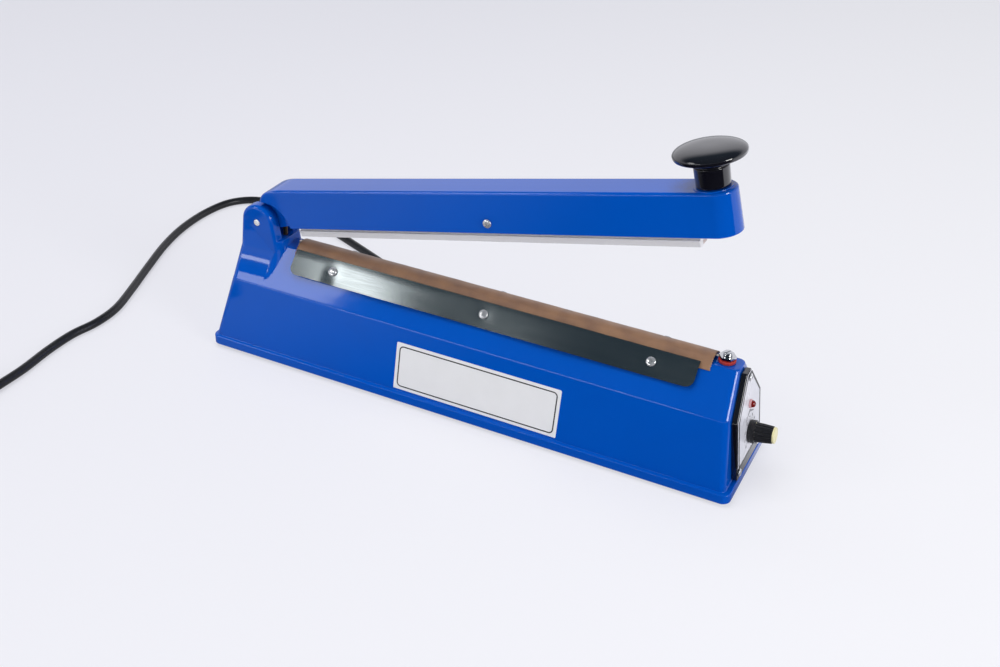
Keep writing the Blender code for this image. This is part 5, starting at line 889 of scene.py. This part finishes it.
rings = [arm_ring(arm_bottom, 0.0004), arm_ring(arm_bottom + 0.0004, 0.0)]
rings += [arm_ring(level, 0.0) for level in (0.0122, 0.0150, 0.0168, 0.0184, 0.0196, 0.0206, 0.0215)]
for a, b in arc((0, 0), 0.0020, 0.0, math.pi / 2, 8):
    rings.append(arm_ring(arm_top - 0.0020 + b, 0.0020 - a))
arm = as_object("enamelled_arm", loft(rings))
combined(arm,
    loft([arm_ring(level, arm_wall, shift) for level, shift in ((arm_bottom, -0.004), (0.0130, 0.0),
    (0.0185, 0.0), (arm_top - arm_wall, 0.0))]))
across_arm = frame_at((0, 0, 0), *sideways)
combined(arm, moved(lathe([(0.0225, -0.02), (0.0225, 0.02)], 96), Matrix.Translation((0.0062, 0, -0.0072))
    @ across_arm))

# %% Lugs, heel and the land under the handle
lug_thick, lug_radius = 0.003, 0.0085
lug_in = slot_half - small_gap * 1.5 - lug_thick
lug_top = 0.0222
lug_left, lug_right = (0.0150, lug_top), (0.0240, -0.0060)
start = touching((0, 0), lug_radius, lug_left, 1) % math.tau
end = touching((0, 0), lug_radius, lug_right, -1) % math.tau
lug = arc((0, 0), lug_radius, start, end, 24) + [lug_right, (0.0240, lug_top), lug_left]
lugs = bmesh.new()
for side in (-1, 1):
    loft([[(a, side * y, b) for a, b in lug] for y in (lug_in, lug_in + lug_thick)], body=lugs)
combined(arm, lugs, "UNION")
heel = [(0.0100, -0.0060), (0.0237, -0.0060), (0.0237, -0.0010), (0.0100, -0.0010)]
combined(arm, loft([[(a, y, b) for a, b in heel] for y in (-lug_in - 0.0015, lug_in + 0.0015)]), "UNION")
land = soft_profile([(0.0, 0.0235), (0.0126, 0.0235), (0.0126, arm_top + 0.0006), (0.0, arm_top + 0.0006)],
    [0.0001, 0.0003], 3)
land = [(max(r, 0.0002), h) for r, h in land]
handle_along = knob_along - 0.0020
combined(arm, moved(lathe(land, 64), Matrix.Translation((handle_along, 0, 0))), "UNION")
combined(arm, moved(lathe([(0.0028, -0.02), (0.0028, 0.02)], 32), across_arm))
finished(arm, "blue_enamel", ["arm_shell"], arm_frame, 32, rides="arm")
print("arm:", len(arm.data.polygons), "faces")

# %% [markdown]
# ## The pin and the pressing bar
# The pin is a turned rod with a soft rim, pushed through both ears. The bar is a drawn
# aluminium channel that hides its fixing inside the arm: it has a narrower lip at the
# bottom and a groove there for the rubber strip. Both are one section pushed along the
# arm, which is how such profiles are made.

# %% Pin
half_dome = dome(0.0025, 0.0008, 0.0155, 8, 0, 0.0003)
rod = [(r, -h) for r, h in reversed(half_dome)] + half_dome
# Its near-white finish is a painted reflection in place of plain chrome.
piece("hinge_pin_rod", lathe(rod, 40), "white_rivet", ["hinge_pin"],
    Matrix.Translation(in_world(pin_from_end, 0, pin_z)) @ across_arm)

# %% Bar, strip, screw and nut
bar_start, bar_end, bar_bottom = 0.0330, 0.3405, -0.01315


def pushed(section, start, end):
    """A section of (across, height) pushed along local X."""
    return loft([[(x, a, b) for a, b in section] for x in (start, end)])


lip_top = bar_bottom + 0.0032
right_side = [(0.0038, bar_bottom + 0.0025), (0.0038, bar_bottom), (0.0090, bar_bottom), (0.0090, lip_top),
    (0.0100, lip_top), (0.0100, -0.0083), (0.0082, -0.0083), (0.0082, -0.0050), (0.0100, -0.0050),
    (0.0100, 0.0070), (0.0076, 0.0070), (0.0076, -0.0044), (0.0040, -0.0044)]
channel = rounded_outline(right_side + [(-a, b) for a, b in reversed(right_side)], 0.00035, 4)
piece("aluminium_bar", pushed(channel, bar_start, bar_end), "bar_aluminium", ["pressing_bar"], arm_frame,
    rides="arm")
strip_section = [(-0.0035, bar_bottom + 0.0022), (-0.0035, bar_bottom + 0.0001),
    (-0.0032, bar_bottom - 0.0002), (0.0032, bar_bottom - 0.0002), (0.0035, bar_bottom + 0.0001),
    (0.0035, bar_bottom + 0.0022)]
piece("rubber_strip", pushed(strip_section, bar_start, bar_end), "red_silicone", ["silicone_strip"],
    arm_frame, rides="arm")


def screw(name, radius, height, at, stands_for, shank, rides="base"):
    """A shank, and a domed head with a cross-shaped recess. The head's underside is at zero."""
    shank_radius, shank_length = shank
    rim, soft = height * 0.38, 0.00012
    profile = [(shank_radius, -shank_length), (shank_radius, 0.0), (radius - soft, 0.0), (radius, soft),
        (radius, rim)]
    made = as_object(name, lathe(profile + dome(radius, height - rim, rim, 10), 40))
    wide, long = radius * 0.13, radius * 0.62
    for a, b in ((long, wide), (wide, long)):
        combined(made, loft([[(x * share, y * share, level) for x, y in ((-a, -b), (a, -b), (a, b), (-a, b))]
            for share, level in ((0.72, height * 0.35), (1.0, height * 1.02))]))
    return finished(made, "bright_steel", [stands_for], at, 30, rides=rides)


def hexagon(radius, turn=0.0):
    return [(radius * math.cos(math.tau * i / 6 + turn), radius * math.sin(math.tau * i / 6 + turn))
        for i in range(6)]


arm_side = arm_half(-0.0008) + small_gap
bar_screw_along, bar_screw_up = 0.1950, 0.0023
screw("bar_screw_head", 0.0031, 0.0014, arm_frame @ frame_at((bar_screw_along, -arm_side, bar_screw_up),
    (1, 0, 0), (0, 0, 1), (0, -1, 0)), "bar_screw", (0.0015, arm_side * 2 + 0.0032), "arm")
nut = prism(hexagon(0.0032), 0.0, 0.0024, edge=0.0003)
piece("bar_hex_nut", nut, "bright_steel", ["bar_nut"], arm_frame
    @ frame_at((bar_screw_along, arm_side, bar_screw_up), *sideways), rides="arm")

# %% [markdown]
# ## The sealing line
# A fibre strip lies on the deck, the hot band on the strip, and a brown release cloth
# over both, so the bag never touches the band. The cloth is a sheet: it comes up one
# slope, bends over the strip and goes down the other slope, and two bright plates with
# three screws each hold its edges. It could be simulated, but it is stretched, so its
# shape is known. A grid follows that path, with small waves where it is free, and
# carries a map in metres for its weave.

# %% Fibre strip and hot band
strip = [(-0.0040, 0.0845), (0.0040, 0.0845), (0.0040, 0.0864), (0.0036, 0.0868), (-0.0036, 0.0868),
    (-0.0040, 0.0864)]
piece("fibre_strip", pushed(strip, 0.0625, 0.3815), "sand_fibre", ["insulating_strip"], base_frame)
terminal_x = 0.3907
band_start, band_half, band_low, band_thick, tab_radius = 0.0585, 0.0012, 0.0871, 0.00025, 0.0042
neck = math.asin(band_half / tab_radius)
tab = arc((terminal_x, 0.0), tab_radius, neck - math.pi, math.pi - neck, 40)
band = prism([(band_start, -band_half)] + tab + [(band_start, band_half)], band_low, band_low + band_thick)
tail_end = band_start + band_thick
tail = [(band_start, -band_half), (tail_end, -band_half), (tail_end, band_half), (band_start, band_half)]
loft([[(a, b, z) for a, b in tail] for z in (0.0721, band_low)], body=band)
piece("hot_band", band, "band_alloy", ["heating_element"], base_frame)

# %% Release cloth
cloth_start, cloth_end, cloth_lift = 0.0610, 0.3830, small_gap + 0.0002
slope_way = Vector((crease_half - deck_half, crease_z - deck_z)).normalized()
slope_out = Vector((-slope_way.y, slope_way.x))
deck_edge = Vector((deck_half, deck_z)) + slope_out * cloth_lift
path = [deck_edge + slope_way * 0.0045, deck_edge + slope_way * 0.0012, deck_edge + Vector((-0.0006, 0.0004))]
path += [(0.0066, 0.0862), (0.0046, 0.0874), (0.0023, 0.0880)]
path = [(-a, b) for a, b in path] + [(0.0, 0.0882)] + [(a, b) for a, b in reversed(path)]
fine_path = smooth_path([Vector((0, a, b)) for a, b in path], 4)
reach = [0.0]
for a, b in zip(fine_path, fine_path[1:]):
    reach.append(reach[-1] + (b - a).length)
cloth_length = cloth_end - cloth_start
columns, rows = len(fine_path), 220
sheet = bmesh.new()
map_layer = sheet.loops.layers.uv.new("weave")
grid = []
for i in range(rows + 1):
    x = cloth_start + cloth_length * i / rows
    line_of_verts = []
    for k, point in enumerate(fine_path):
        free = math.sin(math.pi * k / (columns - 1)) ** 2
        wave = math.sin(x * 410 + k * 0.35) * 0.00005 + math.sin(x * 173 - k * 0.2 + 1.3) * 0.00009
        ragged = 0.0003 * math.sin(k * 1.9) * (1 if i in (0, rows) else 0)
        line_of_verts.append(sheet.verts.new((x + ragged, point.y, point.z + wave * free)))
    grid.append(line_of_verts)
for i in range(rows):
    for k in range(columns - 1):
        corners = ((i, k), (i + 1, k), (i + 1, k + 1), (i, k + 1))
        face = sheet.faces.new([grid[a][b] for a, b in corners])
        for loop, (a, b) in zip(face.loops, corners):
            loop[map_layer].uv = (a * cloth_length / rows, reach[b])
cloth = piece("brown_cloth", sheet, "release_cloth", ["ptfe_cloth"], base_frame, 60)
thick = cloth.modifiers.new("thickness", "SOLIDIFY")
thick.thickness, thick.offset = 0.0003, 0.0
print("cloth:", round(reach[-1] * 1000, 1), "mm across")

# %% Plates and their screws
plate_start, plate_end, plate_wide, plate_low = 0.0630, 0.3760, 0.0190, small_gap * 2 + 0.0004
plate_corner, plate_thick, seat_lift, top_bend = 0.0060, 0.0010, 0.00022, 0.0060
screw_places, screw_down = (0.0971, 0.2208, 0.3445), 0.00917


def bulge(x, down, side):
    """How far a clamped plate stands off: it bows between its screws and bends in at its top."""
    top = max(top_bend - down, 0.0) ** 2 * 9.0
    if side > 0:
        return seat_lift - top
    first, second, last = screw_places
    low_share = down / plate_wide
    bow = 0.0012 * (0.5 - 0.5 * math.cos(math.tau * (x - first) / (second - first)))
    bow += 0.0006 * (max(first - x, x - last, 0.0) / 0.034) ** 2
    nearest = min((x - place) ** 2 + (down - screw_down) ** 2 for place in screw_places)
    dent = 0.00022 * math.exp(-nearest / 0.0055 ** 2)
    free = min(max((first + 0.005 - x) / 0.014, 0.0), 1.0)
    twist = 0.0010 * free * free * (3 - free * 2) * low_share
    return bow * (0.55 + 0.45 * low_share) + twist - dent - top + seat_lift


corner_sweep = [plate_start + plate_corner * (1 - math.cos(math.pi / 2 * i / 12)) for i in range(13)]
plate_run = plate_end - plate_start - plate_corner * 2
stations = corner_sweep + [plate_start + plate_corner + plate_run * i / 150 for i in range(1, 150)]
stations += [plate_start + plate_end - x for x in reversed(corner_sweep)]
number = 0
for label, side in (("front", -1), ("rear", 1)):
    rings = []
    for x in stations:
        short = max(plate_corner - (x - plate_start), plate_corner - (plate_end - x), 0.0)
        low_edge = plate_wide - plate_corner + math.sqrt(max(plate_corner ** 2 - short ** 2, 0.0))
        top_edge = 0.0035 if side > 0 else 0.0
        downs = [top_edge + (low_edge - top_edge) * i / 24 for i in range(25)]
        rings.append([(x, down, plate_low + plate_thick + bulge(x, down, side)) for down in downs]
            + [(x, down, plate_low + bulge(x, down, side)) for down in reversed(downs)])
    piece(f"steel_plate_{label}", loft(rings), "plate_steel", [f"clamp_plate_{label}"], slope_frame(side), 30)
    for place in screw_places:
        number += 1
        at = slope_frame(side) @ Matrix.Translation((place, screw_down, small_gap * 3 + 0.0014))
        screw(f"plate_screw_head_{number}", 0.0033, 0.0018, at, f"plate_screw_{number}", (0.0015, 0.0060))

# %% [markdown]
# ## The terminal at the open end
# A red fibre washer keeps the band's tab off the housing. On the tab lies a plated
# six-sided nut, and a slotted screw closes the stack. The rims have small rounds,
# because this bright stack is the most sparkling spot of the whole device.

# %% Washer, nut and screw
terminal = Matrix.Translation((along(terminal_x), 0, 0))
red_ring = lathe([(0.0021, 0.0845), (0.0056, 0.0845), (0.0059, 0.0848), (0.0059, 0.0864), (0.0055, 0.0868),
    (0.0021, 0.0868)], 56, closed=True)
piece("fibre_ring", red_ring, "red_fibre", ["terminal_washer"], terminal)
nut_body = prism(hexagon(0.0059, 0.12), 0.08765, 0.0893, edge=0.0002)
terminal_nut = as_object("terminal_nut", nut_body)
combined(terminal_nut, lathe([(0.0021, 0.080), (0.0021, 0.095)], 32))
finished(terminal_nut, "chromed_brass", ["terminal_cup"], terminal, 30)
head_low = 0.0896
screw_top = head_low + 0.0021
slotted = soft_profile([(0.0018, 0.0762), (0.0018, head_low), (0.0031, head_low), (0.0031, screw_top),
    (0.0003, screw_top)], [0.0, 0.0002, 0.0005], 5)
slotted_head = as_object("terminal_screw_head", lathe(slotted, 48))
slot = rounded_rectangle(-0.0040, 0.0040, -0.00045, 0.00045, 0.0001, 2)
slot_way = frame_at((0, 0, 0), (0.5, 0.8, 0), (-0.8, 0.5, 0), (0, 0, 1))
combined(slotted_head, moved(prism(slot, screw_top - 0.0011, screw_top + 0.0010), slot_way))
finished(slotted_head, "chromed_brass", ["terminal_screw"], terminal, 30)

# %% [markdown]
# ## The handle
# The handle is one moulding of glossy black resin, turned from a fine profile: a
# straight stem, a tight neck, a flat underside and a domed cap with a full round rim.
# The rim carries the reflections that make it read as a mushroom, so it gets the most
# steps.

# %% Turn the handle
handle_base = arm_top + 0.0006 + small_gap
knob_profile = [(0.0033, 0.0002), (0.0106, 0.0), (0.0109, 0.0003)]
knob_profile += [(0.0109 + 0.0003 * i / 6, 0.0120 * i / 6) for i in range(1, 7)]
knob_profile += soft_profile([(0.0112, 0.0120), (0.0112, 0.0127), (0.0101, 0.0130), (0.0101, 0.0150),
    (0.0130, 0.0176), (0.0226, 0.0186), (0.0230, 0.0206)], [0.0004, 0.0004, 0.0009, 0.0030, 0.0016], 6)
knob_profile += dome(0.0231, 0.0053, 0.0209, 48, least=0.0003, fullness=0.74)
handle = piece("mushroom_handle", lathe(knob_profile, 144), "black_resin", ["handle_knob"], arm_frame
    @ Matrix.Translation((handle_along, 0, handle_base)), 60, rides="arm")
print("handle:", len(handle.data.polygons), "faces")

# %% [markdown]
# ## The end panel
# A thick glossy black plate is screwed to the leaning end of the housing. On it lies a
# thin printed dial with a black line round it, a scale from zero to eight and a grey
# arrowhead above the knob. The numbers are small prisms of ink made from seven
# strokes, so no font file is needed. A red lamp and the timer knob stand out of it.

# %% Plate and dial
def panel_outline(margin, low_margin, radius=0.0018, steps=5):
    low, high = end_height(0.0108) + low_margin, end_height(0.0812) - margin
    half, top, shoulder = 0.0250 - margin, 0.0046 - margin / 2, end_height(0.0552)
    return rounded_outline([(-half, low), (half, low), (half, shoulder), (top, high), (-top, high),
        (-half, shoulder)], radius, steps)


piece("black_panel", prism(panel_outline(0, 0), small_gap, 0.0041, edge=0.0005, edge_steps=4), "black_resin",
    ["panel_plate"], end_frame, 30)
piece("printed_dial", prism(panel_outline(0.0010, 0.0090), 0.0044, 0.0049, edge=0.0001), "dial_print",
    ["dial_plate"], end_frame, 30)


def ink(name, body, look="black_ink", at=end_frame):
    return piece(name, body, look, (), at)


def framed(outer, inner, low, high):
    """A closed band between two outlines of equal counts."""
    return loft([[(*p, z) for p in line] for line, z in ((inner, low), (outer, low), (outer, high),
        (inner, high))], True)


face, ink_top, digit_ring = 0.0049, 0.00498, 0.0112
ink("dial_border", framed(panel_outline(0.0012, 0.0092, 0.0016), panel_outline(0.0030, 0.0106, 0.0012), face,
    ink_top))
knob_up = end_height(0.0355)
arrow = [(-0.0092, 0.0118), (-0.0074, 0.0118), (0.0, 0.0150), (0.0074, 0.0118), (0.0092, 0.0118),
    (0.0, 0.0172)]
ink("dial_arrow", prism([(a, knob_up + b) for a, b in arrow], face, ink_top), "grey_ink")
strokes = {"0": "abcdef", "1": "bc", "2": "abged", "3": "abgcd", "4": "fgbc", "5": "afgcd", "6": "afgedc",
    "7": "abc", "8": "abcdefg"}
places = {"a": (0, 1, 1), "b": (1, 0.5, 0), "c": (1, -0.5, 0), "d": (0, -1, 1), "e": (-1, -0.5, 0),
    "f": (-1, 0.5, 0), "g": (0, 0, 1)}
numbers = bmesh.new()
for digit in range(9):
    t = math.radians(225 - 270 * digit / 8)
    centre = Vector((digit_ring * math.cos(t), knob_up + digit_ring * math.sin(t)))
    for key in strokes[str(digit)]:
        a, b, flat = places[key]
        x, y = centre.x + a * 0.00045, centre.y + b * 0.0008
        half_a, half_b = (0.00052, 0.00012) if flat else (0.00012, 0.00047)
        prism([(x - half_a, y - half_b), (x + half_a, y - half_b), (x + half_a, y + half_b),
            (x - half_a, y + half_b)], face, ink_top, numbers)
    inner, outer = [Vector((r * math.cos(t), knob_up + r * math.sin(t))) for r in (0.0086, 0.0095)]
    aside = Vector((-math.sin(t), math.cos(t))) * 0.00014
    prism([tuple(p) for p in (inner - aside, outer - aside, outer + aside, inner + aside)], face, ink_top,
        numbers)
ink("dial_scale", numbers)

# %% Screws and lamp of the panel
low_up = end_height(0.0108) + 0.0046
for number, (a, b, seat) in enumerate(((0.0, end_height(0.0812) - 0.0046, 0.0052), (-0.0204, low_up, 0.0044),
        (0.0204, low_up, 0.0044)), 1):
    screw(f"panel_screw_head_{number}", 0.0027, 0.0012, end_frame @ Matrix.Translation((a, b, seat)),
        f"panel_screw_{number}", (0.0014, seat + 0.0026))
lamp_up = end_height(0.0568)
lens = [(0.0019, -0.0142), (0.0019, -0.0002), (0.0019, 0.0), (0.0023, 0.0), (0.0024, 0.0001),
    (0.0024, 0.0016)]
piece("lamp_lens", lathe(lens + dome(0.0024, 0.0021, 0.0016, 14), 48), "red_lens", ["indicator_lamp"],
    end_frame @ Matrix.Translation((0, lamp_up, 0.0052)))
lamp_ring = [(0.0025, 0.0050), (0.0030, 0.0050), (0.0030, 0.0060), (0.0028, 0.0064), (0.0025, 0.0064)]
ink("lamp_rim", lathe(lamp_ring, 40, closed=True), "pale_rose", end_frame
    @ Matrix.Translation((0, lamp_up, 0)))

# %% Timer knob and its cap
timer_frame = end_frame @ Matrix.Translation((0, knob_up, 0))
knob_low, knob_tip, skirt_top = 0.0054, 0.0209, 0.0094
flutes, per_flute = 16, 9


def fluted(radius, depth, height):
    ring = []
    for i in range(flutes * per_flute):
        t = math.tau * i / (flutes * per_flute)
        dip = depth * (0.5 - 0.5 * math.cos(flutes * t)) ** 1.6
        ring.append(((radius - dip) * math.cos(t), (radius - dip) * math.sin(t), height))
    return ring


shape = [(0.0033, knob_low + 0.0110, 0), (0.0033, knob_low, 0), (0.0077, knob_low, 0),
    (0.0079, knob_low + 0.0002, 0), (0.0079, skirt_top - 0.0005, 0), (0.00785, skirt_top - 0.0002, 0),
    (0.0075, skirt_top, 0), (0.0071, skirt_top, 0), (0.0069, skirt_top + 0.0001, 0.0002),
    (0.0067, skirt_top + 0.0005, 0.0005), (0.0065, knob_tip - 0.0060, 0.0005),
    (0.0060, knob_tip - 0.0006, 0.0005), (0.0059, knob_tip - 0.0002, 0.0004), (0.0056, knob_tip, 0.0002),
    (0.0045, knob_tip, 0), (0.0045, knob_tip - 0.0014, 0)]
knob_body = loft([fluted(radius, depth, height) for radius, height, depth in shape])
piece("fluted_knob", knob_body, "black_plastic", ["timer_knob"], timer_frame, 34, rides="timer")
cap_body = lathe([(0.0042, knob_tip - 0.0011), (0.0042, knob_tip + 0.0003), (0.0055, knob_tip + 0.0003),
    (0.0056, knob_tip + 0.0004), (0.0056, knob_tip + 0.0013), (0.0054, knob_tip + 0.0016),
    (0.0050, knob_tip + 0.0017), (0.0003, knob_tip + 0.0017)], 64)
piece("cream_cap_disc", cap_body, "cream_plastic", ["knob_cap"], timer_frame, rides="timer")
pointer = prism([(-0.0003, 0.0058), (0.0003, 0.0058), (0.0003, 0.0075), (-0.0003, 0.0075)], skirt_top,
    skirt_top + 0.0001)
piece("knob_pointer", pointer, "cream_plastic", (), timer_frame, rides="timer")

# %% [markdown]
# ## The bare label
# The front wall carries a white sticker with a thin black line round it. It is kept
# bare. The sticker is a sheet with rounded corners, thin enough to show only as a fine
# edge of light, and it leans with the wall.

# %% Stick the label on the wall
wall_up = Vector((0, ledge_half - crease_half, crease_z - ledge_z)).normalized()
wall_frame = frame_at((0, -ledge_half, ledge_z), (1, 0, 0), wall_up, (0, -wall_up.z, wall_up.y))
label_left, label_right, label_low, label_high = along(0.1606), along(0.2896), 0.0016, 0.0378


def label_outline(inset, radius):
    return rounded_rectangle(label_left + inset, label_right - inset, label_low + inset, label_high - inset,
        radius, 6)


ink("bare_label", prism(label_outline(0, 0.0012), 0.0, 0.00012), "label_paper", wall_frame)
ink("label_line", framed(label_outline(0.0024, 0.0034), label_outline(0.0033, 0.0025), 0.00012, 0.00016),
    at=wall_frame)

# %% [markdown]
# ## The underside
# A painted steel cover closes the base. It is held by four screws and stands on four
# rubber feet. Nobody sees it on the table, but the device may be turned over, so it
# has its screws and soft rims too.

# %% Cover, feet and screws
cover = rounded_rectangle(0.0032, base_length - 0.0032, -0.0387, 0.0387, 0.0034, 8)
piece("cover_sheet", prism(cover, 0.0034, 0.0044, edge=0.0002), "cover_paint", ["bottom_cover"], base_frame)
post_y = 0.0299
for number, (a, b) in enumerate(((a, b) for a in (0.0200, base_length - 0.0200) for b in (-post_y, post_y)),
        1):
    at = frame_at((along(a), b, 0.0031), (1, 0, 0), (0, -1, 0), (0, 0, -1))
    screw(f"cover_screw_head_{number}", 0.0028, 0.0012, at, f"cover_screw_{number}", (0.0014, 0.0080))
foot = soft_profile([(0.0004, 0.0), (0.0080, 0.0), (0.0080, 0.0031), (0.0004, 0.0031)], [0.0008, 0.0003], 5)
for number, (a, b) in enumerate(((a, b) for a in (0.0400, base_length - 0.0400) for b in (-0.0269, 0.0269)),
        1):
    piece(f"foot_{number}", lathe(foot, 48), "black_rubber", [f"rubber_foot_{number}"],
        Matrix.Translation((along(a), b, 0)))

# %% [markdown]
# ## What is inside
# The transformer, switch, board and springs keep the solids of the frame, because the
# housing hides them. They still get their finishes, for anyone who lifts the cover or
# looks into the slot between the ears.

# %% Finish the inner solids
# The plunger's brass is painted dark with the shade of its slot.
inner_finishes = {"spring_steel": ["element_spring", "return_spring", "plunger_spring"],
    "brass_metal": ["switch_plunger"], "switch_plastic": ["microswitch", "potentiometer"],
    "bright_steel": ["potentiometer_shaft", "knob_bolt"], "green_board": ["timer_board"],
    "core_steel": ["transformer_core"], "copper_wire": ["transformer_winding"]}
for look, hidden in inner_finishes.items():
    for solid in (bpy.data.objects[name] for name in hidden):
        for place in solid.material_slots:
            place.material = finish[look]
        print(solid.name, len(solid.material_slots), end="; ")
